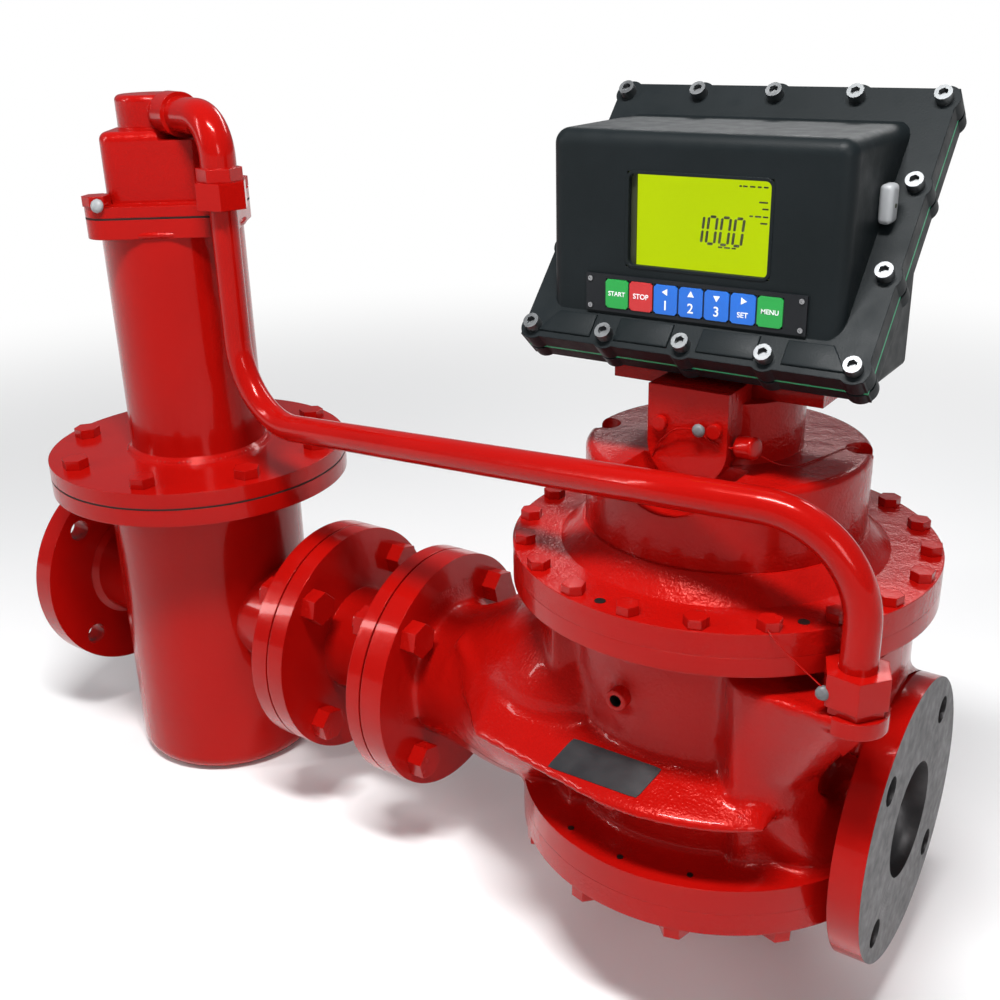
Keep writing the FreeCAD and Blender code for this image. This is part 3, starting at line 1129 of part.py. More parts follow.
def top_cover_bolts():
    piece = new_body("top_cover_bolts", x=METER_X, group=True)
    x, y = polar(METER_BOLTS, "90")
    shank = sketch(piece, "meter_shank_face", "XY_Plane", COVER_TOP)
    circle(shank, x, y, "meter_bolt_dia / 2")
    shank_pad = pad(piece, "meter_shank", shank, "cover_ring_thick + top_ring_thick - 3", back=True)
    head = sketch(piece, "meter_head_face", "XY_Plane", COVER_TOP)
    hexagon(head, x, y, "meter_bolt_across", "90")
    head_pad = pad(piece, "meter_head", head, "meter_bolt_head")
    ring_pattern(piece, "meter_bolt_ring", [shank_pad, head_pad], "meter_bolt_count")


def bottom_cover():
    piece = new_body("bottom_cover", x=METER_X)
    low = "(body_low + bottom_cover_thick)"
    turned(piece, "bottom_cover_form", [
        ("0", f"-{low} - dish_deep"), ("dish_dia / 2 - dish_deep", f"-{low} - dish_deep"),
        ("dish_dia / 2", f"-{low} - dish_deep * 0.4"), ("dish_dia / 2", f"-{low}"),
        ("low_ring_dia / 2", f"-{low}"), ("low_ring_dia / 2", "-body_low"),
        ("body_bore / 2 - 6", "-body_low"), ("body_bore / 2 - 6", f"-{low} - 4"), ("0", f"-{low} - 4")])
    x, y = polar("bottom_bolt_circle / 2", "15")
    head = sketch(piece, "bottom_head_face", "XY_Plane", f"-{low}")
    hexagon(head, x, y, "bottom_bolt_across", "15")
    one = pad(piece, "bottom_head", head, "bottom_bolt_head", back=True)
    ring_pattern(piece, "bottom_heads", [one], 12)
    clear = sketch(piece, "outlet_flat_face", "XY_Plane", "-body_low")
    edge = "(meter_outlet_reach - meter_flange_out - 2)"
    rectangle(clear, edge, "-low_ring_dia / 2", "low_ring_dia", "low_ring_dia / 2")
    cut(piece, "outlet_flat", clear, "bottom_cover_thick + bottom_bolt_head + 1")


# Measuring chamber inside the casting
def lobe_outline(gap):
    """Points of a two-lobed rotor: epicycloids for the lobes, hypocycloids for the waists."""
    pitch = value("rotor_pitch")
    small = pitch / 4
    curves = []
    for quarter in range(4):
        lobe = quarter % 2 == 0
        curve = []
        for step in range(13):
            angle = math.radians(90 * step / 12)
            if lobe:
                far, turn = pitch + small, (pitch + small) / small * angle
                x = far * math.cos(angle) - small * math.cos(turn)
                y = far * math.sin(angle) - small * math.sin(turn)
            else:
                far, turn = pitch - small, (pitch - small) / small * angle
                x = far * math.cos(angle) + small * math.cos(turn)
                y = far * math.sin(angle) - small * math.sin(turn)
            start = math.radians(90 * quarter - 45)
            curve.append(V(x * math.cos(start) - y * math.sin(start), x * math.sin(start) + y * math.cos(start), 0))
        curves.append(curve)
    loop = [point for curve in curves for point in curve[:-1]]
    moved = []
    for k, point in enumerate(loop):
        along = loop[(k + 1) % len(loop)] - loop[k - 1]
        moved.append(point + V(-along.y, along.x, 0).normalize() * gap)
    return moved


def rotor(label, side, turn):
    """A rotor with its shaft; side is the sign of its axis along Y."""
    piece = doc.addObject("Part::Feature", label)
    piece.Label = label
    points = lobe_outline(value("rotor_gap"))
    outline = Part.BSplineCurve()
    outline.interpolate(Points=points, PeriodicFlag=True)
    low = value(ROTOR_LOW)
    lobes = Part.Face(Part.Wire(outline.toShape())).extrude(V(0, 0, value("rotor_long")))
    lobes.rotate(V(0, 0, 0), V(0, 0, 1), turn)
    lobes.translate(V(0, 0, low))
    bottom = value("2 - body_low")
    top = value(f"{DRIVE_LOW} + drive_gear_thick") if side < 0 else value(f"{GEAR_LOW} + timing_gear_thick")
    shaft = Part.makeCylinder(value("rotor_shaft_dia / 2"), top - bottom, V(0, 0, bottom))
    piece.Shape = lobes.fuse(shaft).removeSplitter()
    place(piece, x=METER_X, y=("-" if side < 0 else "") + "rotor_pitch")


def measuring_chamber():
    piece = new_body("measuring_chamber", x=METER_X)
    drawn = sketch(piece, "chamber_face", "XY_Plane", "bearing_plate_thick - body_low")
    circle(drawn, "0", "0", "body_bore / 2 - chamber_gap")
    pad(piece, "chamber_block", drawn, "rotor_long + 2 * end_gap")
    for name, side in (("near", "-"), ("far", "")):
        hollow = sketch(piece, name + "_hollow_face", "XY_Plane", "bearing_plate_thick - body_low")
        circle(hollow, "0", side + "rotor_pitch", "rotor_pitch * 1.5 + rotor_gap")
        cut(piece, name + "_hollow", hollow, "rotor_long + 2 * end_gap", ahead=True)
    ports = sketch(piece, "chamber_port_face", "YZ_Plane")
    rectangle(ports, "-chamber_port_width / 2", "-chamber_port_tall / 5", "chamber_port_width / 2",
              "chamber_port_tall * 0.8")
    cut(piece, "chamber_ports", ports, "body_bore + 2", both=True)


def bearing_plates():
    for label, low in (("lower_bearing_plate", "-body_low"), ("upper_bearing_plate", UPPER_PLATE_LOW)):
        piece = new_body(label, x=METER_X)
        drawn = sketch(piece, label + "_face", "XY_Plane", low)
        circle(drawn, "0", "0", "body_bore / 2 - chamber_gap")
        for side in ("-", ""):
            circle(drawn, "0", side + "rotor_pitch", "rotor_shaft_dia / 2 + bush_wall")
        pad(piece, label + "_form", drawn, "bearing_plate_thick")
    piece = new_body("rotor_bushes", x=METER_X, group=True)
    for low_name, low in (("lower", "-body_low"), ("upper", UPPER_PLATE_LOW)):
        for side_name, side in (("near", "-"), ("far", "")):
            name = f"{low_name}_{side_name}_bush"
            drawn = sketch(piece, name + "_face", "XY_Plane", low)
            circle(drawn, "0", side + "rotor_pitch", "rotor_shaft_dia / 2 + bush_wall")
            circle(drawn, "0", side + "rotor_pitch", "rotor_shaft_dia / 2 + fit_gap")
            pad(piece, name, drawn, "bearing_plate_thick")


def gear_face(teeth, module, first_tooth, bore):
    """Face of a spur gear with involute flanks; first_tooth is the angle of one tooth's middle."""
    pitch = teeth * module / 2
    base = pitch * math.cos(math.radians(20))
    tip, root = pitch + 0.9 * module, pitch - 1.2 * module
    spread = math.tan(math.radians(20)) - math.radians(20)
    half = math.pi / 2 / teeth - value("gear_backlash") / 4 / pitch + spread
    flank = []
    for step in range(4):
        radius = max(base, root) + (tip - max(base, root)) * step / 3
        slope = math.acos(min(base / radius, 1))
        flank.append((radius, half - (math.tan(slope) - slope)))
    points = []
    for k in range(teeth):
        middle_angle = math.radians(first_tooth) + 2 * math.pi * k / teeth
        rising = [(root, half)] + flank
        for sign, side in ((-1, rising), (1, rising[::-1])):
            points += [V(r * math.cos(middle_angle + sign * a), r * math.sin(middle_angle + sign * a), 0)
                       for r, a in side]
    points.append(points[0])
    hole = Part.Face(Part.Wire([Part.makeCircle(bore)]))
    return Part.Face(Part.makePolygon(points)).cut(hole)


def gear(label, teeth, module, first_tooth, bore, low, thick, y):
    """A gear on a vertical shaft at the meter's axis plus y."""
    piece = doc.addObject("Part::Feature", label)
    piece.Label = label
    piece.Shape = gear_face(teeth, value(module), first_tooth, value(bore)).extrude(V(0, 0, value(thick)))
    place(piece, x=METER_X, y=y, z=low)


def gear_train():
    rotor("near_rotor", -1, 0)
    rotor("far_rotor", 1, 90)
    shaft = "rotor_shaft_dia / 2"
    gear("near_timing_gear", ROTOR_TEETH, "timing_module", 90, shaft, GEAR_LOW, "timing_gear_thick",
         "-rotor_pitch")
    gear("far_timing_gear", ROTOR_TEETH, "timing_module", -90 + 180 / ROTOR_TEETH, shaft, GEAR_LOW,
         "timing_gear_thick", "rotor_pitch")
    gear("drive_pinion", PINION_TEETH, "drive_module", 90, shaft, DRIVE_LOW, "drive_gear_thick",
         "-rotor_pitch")
    piece = doc.addObject("Part::Feature", "output_shaft")
    piece.Label = "output_shaft"
    wheel = gear_face(OUTPUT_TEETH, value("drive_module"), -90 + 180 / OUTPUT_TEETH, 1)
    wheel = wheel.extrude(V(0, 0, value("drive_gear_thick")))
    wheel.translate(V(0, 0, value(DRIVE_LOW)))
    low = value(DRIVE_LOW)
    top = value(f"{WHEEL_LOW} + pulse_wheel_thick + 4")
    bar = Part.makeCylinder(value("output_shaft_dia / 2"), top - low, V(0, 0, low))
    piece.Shape = wheel.fuse(bar).removeSplitter()
    place(piece, x=METER_X)


def pulse_parts():
    piece = new_body("pulse_wheel", x=METER_X)
    drawn = sketch(piece, "pulse_wheel_face", "XY_Plane", WHEEL_LOW)
    circle(drawn, "0", "0", "pulse_wheel_dia / 2")
    circle(drawn, "0", "0", "output_shaft_dia / 2")
    circles(drawn, "pulse_wheel_dia / 2 - 8", 8, 0, "4")
    pad(piece, "pulse_wheel_form", drawn, "pulse_wheel_thick")
    piece = new_body("pulse_sensor", x=METER_X)
    foot = "pulse_wheel_dia / 2 + 4"
    turned_side = sketch(piece, "pulse_sensor_face", "XZ_Plane")
    reach = "pulse_wheel_dia / 2 - 14"
    gap_low, gap_high = f"{WHEEL_LOW} - 2", f"{WHEEL_LOW} + pulse_wheel_thick + 2"
    profile(turned_side, [
        (foot + " + 8", "cover_seat_height"), (foot + " + 8", f"{gap_high} + 4"), (reach, f"{gap_high} + 4"),
        (reach, gap_high), (foot, gap_high), (foot, gap_low), (reach, gap_low), (reach, f"{gap_low} - 3"),
        (foot, f"{gap_low} - 3"), (foot, "cover_seat_height")])
    pad(piece, "pulse_sensor_form", turned_side, "14", both=True)


# Gear housing, adjuster and register base
def adjuster_outline(drawn):
    """Half-round lower end with straight sides up to the top."""
    half = "adjuster_width / 2"
    profile(drawn, [
        (f"-{half}", "adjuster_centre", half), ("0", f"adjuster_centre - {half}", half),
        (half, "adjuster_centre"), (half, "adjuster_top"), (f"-{half}", "adjuster_top")])


def gear_housing():
    piece = new_body("gear_housing", x=METER_X)
    form = turned(piece, "drum_form", [
        ("0", "cover_seat_height"), ("drum_dia / 2", "cover_seat_height"), ("drum_dia / 2", "drum_top"),
        ("neck_dia / 2", "drum_top"), ("neck_dia / 2", "neck_top"), ("0", "neck_top")])
    rim = (value("drum_dia / 2"), value("drum_top"))
    rounded(piece, "drum_rim", form, "drum_edge", lambda e: is_circle(e, *rim))
    scoop = sketch(piece, "scoop_face", "XZ_Plane", "scoop_reach")
    circle(scoop, "0", "scoop_height", "scoop_dia / 2")
    cut(piece, "scoop", scoop, "drum_dia / 2", ahead=True)
    lump = sketch(piece, "adjuster_housing_face", "XZ_Plane", "adjuster_face - adjuster_cover_thick")
    adjuster_outline(lump)
    pad(piece, "adjuster_housing", lump, "adjuster_face - adjuster_cover_thick - base_front - 3", back=True)
    notches = sketch(piece, "notch_face", "XY_Plane", "drum_top")
    for angle in ("188", "18"):
        x, y = polar("notch_reach", angle)
        circle(notches, x, y, "notch_dia / 2")
    cut(piece, "notches", notches, "notch_deep")
    groove(piece, "drum_inside", [
        ("0", "cover_seat_height"), ("drum_cavity_dia / 2", "cover_seat_height"),
        ("drum_cavity_dia / 2", "drum_cavity_top"), ("cable_bore / 2", "drum_cavity_top"),
        ("cable_bore / 2", "neck_top"), ("0", "neck_top")])


def adjuster_cover():
    piece = new_body("adjuster_cover", x=METER_X)
    drawn = sketch(piece, "adjuster_cover_face", "XZ_Plane", "adjuster_face")
    adjuster_outline(drawn)
    pad(piece, "adjuster_cover_plate", drawn, "adjuster_cover_thick", back=True)


def seal_screws():
    piece = new_body("seal_screws", x=METER_X, group=True)
    for name, angle in (("left", "188"), ("right", "18")):
        x, y = polar("notch_reach", angle)
        drawn = sketch(piece, name + "_seal_screw_face", "XY_Plane", "drum_top - notch_deep")
        circle(drawn, x, y, "6")
        pad(piece, name + "_seal_screw", drawn, "9")
    for name, x, above in COVER_SCREWS:
        drawn = sketch(piece, name + "_cover_screw_face", "XZ_Plane", "adjuster_face")
        circle(drawn, str(x), f"adjuster_centre + {above}", "cover_screw_dia / 2")
        pad(piece, name + "_cover_screw", drawn, "4")


def register_base():
    piece = new_body("register_base", x=METER_X)
    half = "base_width / 2"
    drawn = sketch(piece, "register_base_face", "XY_Plane", "neck_top")
    rectangle(drawn, f"-{half}", "-base_front", half, "base_back")
    circle(drawn, "0", "0", "cable_bore / 2")
    pad(piece, "register_base_plate", drawn, "base_thick")


# Register on its tilted joint; tilt_y and tilt_z turn a place in the frame into the joint's own axes
def tilt_y(y, z):
    return f"((({y}) - joint_y) * cos(register_tilt) + (({z}) - joint_z) * sin(register_tilt))"


def tilt_z(y, z):
    return f"((({z}) - joint_z) * cos(register_tilt) - (({y}) - joint_y) * sin(register_tilt))"


def joint_height(y):
    """Height of the joint plane at a place along Y."""
    return f"(joint_z + (({y}) - joint_y) * tan(register_tilt))"


def joint_place(z):
    """Place along Y of the joint plane at a height."""
    return f"(joint_y + (({z}) - joint_z) / tan(register_tilt))"


def tilted(points):
    return [(tilt_y(y, z), tilt_z(y, z)) for y, z in points]


def bolt_places():
    """The fourteen bolts round the register's joint."""
    edge = [(f"{k} * lug_x / 2", side + "lug_y") for side in ("", "-") for k in range(-2, 3)]
    sides = [(a + "lug_x", b + "lug_side_y") for a in ("", "-") for b in ("", "-")]
    return edge + sides


def register_body(label, group=False, x=METER_X):
    return new_body(label, x, "joint_y", "joint_z", "register_tilt", V(1, 0, 0), group)


def register_flange(piece, name, start, thick, hole):
    """A flange plate of the register's joint: its plate, then its lugs with their holes."""
    half_x, half_y = "register_width / 2", "register_tall / 2"
    plate = sketch(piece, name + "_plate_face", "XY_Plane", start)
    rectangle(plate, f"-{half_x}", f"-{half_y}", half_x, half_y)
    pad(piece, name + "_plate", plate, thick)
    lugs = sketch(piece, name + "_lug_face", "XY_Plane", start)
    for x, y in bolt_places():
        circle(lugs, x, y, "lug_radius")
    pad(piece, name + "_lugs", lugs, thick)
    holes = sketch(piece, name + "_hole_face", "XY_Plane", f"{start} + {thick}")
    for x, y in bolt_places():
        circle(holes, x, y, hole)
    return holes


def front_cover():
    piece = register_body("front_shell")
    points = tilted([("front_y", joint_height("front_y")), ("front_y", FRONT_TOP),
                     (joint_place(FRONT_TOP), FRONT_TOP)])
    side = sketch(piece, "front_box_side", "YZ_Plane", "front_shift")
    profile(side, points)
    box = pad(piece, "front_box", side, "front_width", both=True)
    deep = value("front_flange_thick")
    rounded(piece, "front_box_edges", box, "front_edge", lambda e: middle(e).z > deep)
    holes = register_flange(piece, "front", "0", "front_flange_thick", "(screw_dia + bolt_hole_gap) / 2")
    cut(piece, "front_holes", holes, "front_flange_thick")
    inner_y, inner_top = "(front_y + housing_wall)", f"({FRONT_TOP} - housing_wall)"
    inside = sketch(piece, "front_inside_side", "YZ_Plane", "front_shift")
    profile(inside, tilted([(inner_y, joint_height(inner_y)), (inner_y, inner_top),
                            (joint_place(inner_top), inner_top)]))
    cut(piece, "front_inside", inside, "front_width - 2 * housing_wall", both=True)
    opening = block("window_opening", f"{METER_X} + window_x - window_width / 2", "front_y - 5",
                    f"{WINDOW_HEIGHT} - window_tall / 2", "window_width", "housing_wall + 6", "window_tall")
    difference("front_cover", piece, opening)


def register_gasket():
    piece = register_body("register_gasket")
    inner = "rear_span / 2 - housing_wall"
    drawn = sketch(piece, "register_gasket_face", "XY_Plane")
    rectangle(drawn, "-register_width / 2", "-register_tall / 2", "register_width / 2", "register_tall / 2")
    side = "front_width / 2 - housing_wall"
    rectangle(drawn, f"-({side})", f"-({inner})", side, inner)
    for x, y in bolt_places():
        near_edge = "screw_dia / 2 + 0.5"
        circle(drawn, x, y, near_edge)
    pad(piece, "register_gasket_sheet", drawn, "register_gasket_thick", back=True)


def rear_housing():
    piece = register_body("rear_housing")
    start = "register_gasket_thick"
    corners = [("rear_knee_y", BASE_TOP), ("rear_back_y", BASE_TOP), ("rear_back_y", "rear_top")]
    side = sketch(piece, "rear_box_side", "YZ_Plane")
    profile(side, [("-rear_span / 2", f"-{start}")] + tilted(corners) + [("rear_span / 2", f"-{start}")])
    box = pad(piece, "rear_box", side, "rear_width", both=True)
    deep = -value("register_gasket_thick + rear_flange_thick")
    rounded(piece, "rear_box_edges", box, "front_edge / 2", lambda e: middle(e).z < 2 * deep)
    holes = register_flange(piece, "rear", f"-({start} + rear_flange_thick)", "rear_flange_thick",
                            "screw_dia / 2 + fit_gap")
    cut(piece, "rear_holes", holes, "rear_flange_thick")
    wall = "housing_wall"
    inner = [(f"rear_knee_y + {wall} / 2", f"{BASE_TOP} + {wall}"), (f"rear_back_y - {wall}", f"{BASE_TOP} + {wall}"),
             (f"rear_back_y - {wall}", f"rear_top - {wall}")]
    inside = sketch(piece, "rear_inside_side", "YZ_Plane")
    half = f"rear_span / 2 - {wall}"
    profile(inside, [(f"-({half})", f"-{start}")] + tilted(inner) + [(half, f"-{start}")])
    cut(piece, "rear_inside", inside, "rear_width - 2 * housing_wall", both=True)


def register_bolts():
    piece = register_body("register_bolts", group=True)
    shank = sketch(piece, "screw_shank_face", "XY_Plane", "front_flange_thick")
    head = sketch(piece, "screw_head_face", "XY_Plane", "front_flange_thick")
    socket = sketch(piece, "screw_socket_face", "XY_Plane", "front_flange_thick + screw_head_tall")
    for x, y in bolt_places():
        circle(shank, x, y, "screw_dia / 2")
        circle(head, x, y, "screw_head_dia / 2")
        hexagon(socket, x, y, "screw_socket")
    pad(piece, "screw_heads", head, "screw_head_tall")
    pad(piece, "screw_shanks", shank,
        "front_flange_thick + register_gasket_thick + rear_flange_thick", back=True)
    cut(piece, "screw_sockets", socket, "screw_head_tall / 2")


def window_and_display():
    left = f"{METER_X} + window_x - window_width / 2 - window_lap"
    low = f"{WINDOW_HEIGHT} - window_tall / 2 - window_lap"
    wide, tall = "window_width + 2 * window_lap", "window_tall + 2 * window_lap"
    glass_y = "(front_y + housing_wall)"
    block("window", left, glass_y, low, wide, "window_thick", tall)
    display_y = "(front_y + housing_wall + window_thick)"
    block("display_module", left, display_y, low, wide, "display_thick", tall)
    board_y = "(front_y + housing_wall + window_thick + display_thick)"
    block("circuit_board", f"{METER_X} + window_x - board_width / 2", board_y,
          f"{WINDOW_HEIGHT} - board_tall / 2", "board_width", "board_thick", "board_tall")


def keypad():
    frame = new_body("keypad_frame", x=f"{METER_X} + keypad_x")
    drawn = sketch(frame, "keypad_frame_face", "XZ_Plane", "-front_y")
    rectangle(drawn, "-keypad_width / 2", KEYPAD_LOW, "keypad_width / 2", f"{KEYPAD_LOW} + keypad_tall")
    middle_z = f"({KEYPAD_LOW} + keypad_tall / 2)"
    for k in range(KEY_COUNT):
        x = f"({k - (KEY_COUNT - 1) / 2} * key_pitch)"
        half_x, half_z = "(key_width / 2 + key_gap)", "(key_tall / 2 + key_gap)"
        rectangle(drawn, f"{x} - {half_x}", f"{middle_z} - {half_z}", f"{x} + {half_x}", f"{middle_z} + {half_z}")
    pad(frame, "keypad_frame_plate", drawn, "keypad_thick")
    for k in range(KEY_COUNT):
        label = f"key_{k + 1}"
        x = f"{METER_X} + keypad_x + ({k - (KEY_COUNT - 1) / 2} * key_pitch)"
        piece = new_body(label, x=x, z=middle_z)
        face = sketch(piece, label + "_face", "XZ_Plane", KEY_BACK)
        w, t, c = "key_width / 2", "key_tall / 2", "key_corner"
        profile(face, [
            (f"-{w}", f"-{t} + {c}"), (f"-{w} + {c}", f"-{t}"), (f"{w} - {c}", f"-{t}"), (w, f"-{t} + {c}"),
            (w, f"{t} - {c}"), (f"{w} - {c}", t), (f"-{w} + {c}", t), (f"-{w}", f"{t} - {c}")])
        pad(piece, label + "_form", face, "keypad_thick + key_proud - key_travel - 0.1")


def seal_cap():
    piece = new_body("seal_cap", METER_X, "seal_cap_y", f"{FRONT_TOP} - seal_cap_drop")
    drawn = sketch(piece, "seal_cap_face", "YZ_Plane", "front_width / 2 + front_shift")
    circle(drawn, "0", "0", "seal_cap_dia / 2")
    pad(piece, "seal_cap_form", drawn, "seal_cap_long")


STEPS = (
    inlet_flange, strainer_vessel, strainer_basket, cover_gasket, strainer_cover, strainer_bolts,
    head_gasket, air_head, vent_seat, float_guide, float_and_stem, vent_elbow, vent_tube, union_nuts,
    valve_body, valve_seat, flap_pin, valve_flap, flange_gaskets, flange_bolts, meter_body, seal_ring,
    top_cover, top_cover_bolts, bottom_cover, measuring_chamber, bearing_plates, gear_train, pulse_parts,
    gear_housing, adjuster_cover, seal_screws, register_base, front_cover, register_gasket, rear_housing,
    register_bolts, window_and_display, keypad, seal_cap)
NODES = [
    "inlet_flange", "strainer_vessel", "strainer_basket", "cover_gasket", "strainer_cover", "cover_bolts",
    "head_gasket", "air_head", "head_bolts", "vent_seat", "float_guide", "float", "vent_elbow",
    "upper_union_nut", "vent_tube", "lower_union_nut", "outlet_fitting", "valve_body", "valve_seat",
    "flap_pin", "valve_flap", "flange_gaskets", "flange_bolts", "meter_body", "cover_seal_ring",
    "top_cover", "top_cover_bolts", "bottom_cover", "measuring_chamber", "lower_bearing_plate",
    "upper_bearing_plate", "rotor_bushes", "near_rotor", "far_rotor", "near_timing_gear",
    "far_timing_gear", "drive_pinion", "output_shaft", "pulse_wheel", "pulse_sensor", "gear_housing",
    "adjuster_cover", "seal_screws", "register_base", "front_cover", "register_gasket", "rear_housing",
    "register_bolts", "window", "display_module", "circuit_board", "keypad_frame",
    "key_1", "key_2", "key_3", "key_4", "key_5", "key_6", "key_7", "seal_cap"]

for step in STEPS:
    step()
doc.recompute()

failed = [item.Label for item in doc.Objects if "Invalid" in item.State or "Error" in item.State]
if failed:
    raise RuntimeError(f"these objects failed: {failed}")
os.makedirs("parts", exist_ok=True)
for node in NODES:
    shape = doc.getObjectsByLabel(node)[0].Shape
    if shape.isNull() or not shape.isValid() or not shape.Solids:
        raise RuntimeError(f"{node} has no sound solid")
for node in NODES:
    doc.getObjectsByLabel(node)[0].Shape.exportStep(f"parts/{node}.step")
print(f"{len(NODES)} nodes written")
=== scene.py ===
# %% [markdown]
# # A fuel meter with its strainer and air eliminator
# The real object is three cast and welded units bolted in a row: a strainer vessel with a tall float
# chamber, a short non-return valve, and a meter with a gear housing and an electronic register.
# The CAD model already has every part in its place. This script dresses it: it gives each part the
# paint, metal or plastic of the real one, and adds what a CAD model lacks, such as soft casting
# forms, weld beads and seal wires. Lengths are in metres, apart from the camera's lens.

# %% Load the CAD frame
import json
import math

import bmesh
import bpy
from mathutils import Matrix, Vector
from mathutils.bvhtree import BVHTree


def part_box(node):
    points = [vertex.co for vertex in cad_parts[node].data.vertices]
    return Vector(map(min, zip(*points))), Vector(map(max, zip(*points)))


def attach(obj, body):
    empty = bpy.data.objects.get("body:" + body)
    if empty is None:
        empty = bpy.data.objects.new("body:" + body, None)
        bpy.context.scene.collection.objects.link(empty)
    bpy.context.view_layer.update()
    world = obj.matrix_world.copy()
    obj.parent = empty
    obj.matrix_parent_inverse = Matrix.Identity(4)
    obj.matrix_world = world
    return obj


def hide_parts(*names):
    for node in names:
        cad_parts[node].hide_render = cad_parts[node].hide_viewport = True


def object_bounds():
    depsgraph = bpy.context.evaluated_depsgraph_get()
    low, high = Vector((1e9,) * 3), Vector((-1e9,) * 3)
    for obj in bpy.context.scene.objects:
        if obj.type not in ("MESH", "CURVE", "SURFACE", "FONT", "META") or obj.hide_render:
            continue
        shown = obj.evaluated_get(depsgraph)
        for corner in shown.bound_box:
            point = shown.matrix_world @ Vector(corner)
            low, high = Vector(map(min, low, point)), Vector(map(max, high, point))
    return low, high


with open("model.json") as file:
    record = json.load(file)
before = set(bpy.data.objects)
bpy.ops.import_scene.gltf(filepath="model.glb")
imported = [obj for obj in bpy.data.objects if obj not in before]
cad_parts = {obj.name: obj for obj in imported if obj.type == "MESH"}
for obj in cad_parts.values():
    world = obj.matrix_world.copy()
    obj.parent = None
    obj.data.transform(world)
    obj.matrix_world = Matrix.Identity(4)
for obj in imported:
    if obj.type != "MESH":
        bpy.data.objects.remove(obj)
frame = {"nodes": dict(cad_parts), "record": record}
cad_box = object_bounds()
nodes = frame["nodes"]
ROOT_BODY = "meter_set"
METER_X = 0.636
VESSEL_X = 0.138
print("nodes loaded:", len(nodes))

# %% [markdown]
# ## Camera
# The photograph was taken from the front right and a little above. The place, the three turns and the
# lens come from matching the centres of flange holes and rims in the photograph with their places in
# the model. The camera comes first, so that every later look is judged from the same spot.

# %% The camera's place and lens
CAMERA_PLACE = Vector((0.9327, -0.6841, 0.4975))
CAMERA_TURN = math.radians(34.737)
CAMERA_DIP = math.radians(22.214)
CAMERA_LEAN = math.radians(-1.496)
LENS_MM = 43.767
SENSOR_MM = 36.0


def camera_axes(turn, dip, lean):
    """The camera's right, up and forward directions."""
    forward = Vector((-math.sin(turn) * math.cos(dip), math.cos(turn) * math.cos(dip), -math.sin(dip)))
    level = Vector((math.cos(turn), math.sin(turn), 0))
    above = level.cross(forward)
    right = math.cos(lean) * level + math.sin(lean) * above
    up = math.cos(lean) * above - math.sin(lean) * level
    return right, up, forward


def into_scene(name, data):
    """An object with this data, put into the scene."""
    made = bpy.data.objects.new(name, data)
    bpy.context.scene.collection.objects.link(made)
    return made


right, up, forward = camera_axes(CAMERA_TURN, CAMERA_DIP, CAMERA_LEAN)
lens = bpy.data.cameras.new("photo_camera")
lens.sensor_width = SENSOR_MM
lens.lens = LENS_MM
camera = into_scene("photo_camera", lens)
turned = Matrix((right, up, -forward)).transposed().to_4x4()
camera.matrix_world = Matrix.Translation(CAMERA_PLACE) @ turned
bpy.context.scene.camera = camera
print("camera looks along", [round(part, 3) for part in forward])

# %% [markdown]
# ## Floor and light
# The object stands before a white sheet, under soft lamps. Long soft streaks on the glossy paint show
# where the lamps are: one hangs over the object, one stands at the front left, and one fills from the
# right. A strip behind gives the edges a rim of light. The floor keeps the shadow near the object. Far
# away it turns to plain white for the camera and for reflections, so no horizon shows.

# %% Floor
low_z = cad_box[0][2]
FLOOR_HALF = 200.0
FLOOR_GAP = 0.0005
FLOOR_MIDDLE = (0.45, 0, low_z)
FLOOR_NEAR = 0.75
FLOOR_FAR = 2.2


def plain_floor(size, height):
    """A flat square under the object."""
    bm = bmesh.new()
    bmesh.ops.create_grid(bm, x_segments=1, y_segments=1, size=size)
    bmesh.ops.translate(bm, verts=bm.verts, vec=(METER_X, 0, height))
    mesh = bpy.data.meshes.new("floor")
    bm.to_mesh(mesh)
    bm.free()
    return into_scene("floor", mesh)


def seen_only(tree):
    """One where the camera, a mirror or a window looks; zero for plain light."""
    rays = tree.nodes.new("ShaderNodeLightPath")
    total = rays.outputs["Is Camera Ray"]
    for name in ("Is Glossy Ray", "Is Transmission Ray"):
        most = tree.nodes.new("ShaderNodeMath")
        most.operation = "MAXIMUM"
        tree.links.new(total, most.inputs[0])
        tree.links.new(rays.outputs[name], most.inputs[1])
        total = most.outputs["Value"]
    return total


def floor_material():
    """Pale paint that turns to white light far from the object."""
    made = bpy.data.materials.new("floor_paint")
    made.use_nodes = True
    tree = made.node_tree
    shader = tree.nodes["Principled BSDF"]
    shader.inputs["Base Color"].default_value = (0.86, 0.86, 0.86, 1)
    shader.inputs["Roughness"].default_value = 0.9
    place = tree.nodes.new("ShaderNodeTexCoord").outputs["Object"]
    away = tree.nodes.new("ShaderNodeVectorMath")
    away.operation = "DISTANCE"
    away.inputs[1].default_value = FLOOR_MIDDLE
    tree.links.new(place, away.inputs[0])
    far = tree.nodes.new("ShaderNodeMapRange")
    far.interpolation_type = "SMOOTHSTEP"
    far.inputs["From Min"].default_value = FLOOR_NEAR
    far.inputs["From Max"].default_value = FLOOR_FAR
    tree.links.new(away.outputs["Value"], far.inputs["Value"])
    both = tree.nodes.new("ShaderNodeMath")
    both.operation = "MULTIPLY"
    tree.links.new(far.outputs["Result"], both.inputs[0])
    tree.links.new(seen_only(tree), both.inputs[1])
    white = tree.nodes.new("ShaderNodeEmission")
    mixed = tree.nodes.new("ShaderNodeMixShader")
    tree.links.new(both.outputs["Value"], mixed.inputs["Fac"])
    tree.links.new(shader.outputs["BSDF"], mixed.inputs[1])
    tree.links.new(white.outputs["Emission"], mixed.inputs[2])
    tree.links.new(mixed.outputs["Shader"], tree.nodes["Material Output"].inputs["Surface"])
    return made


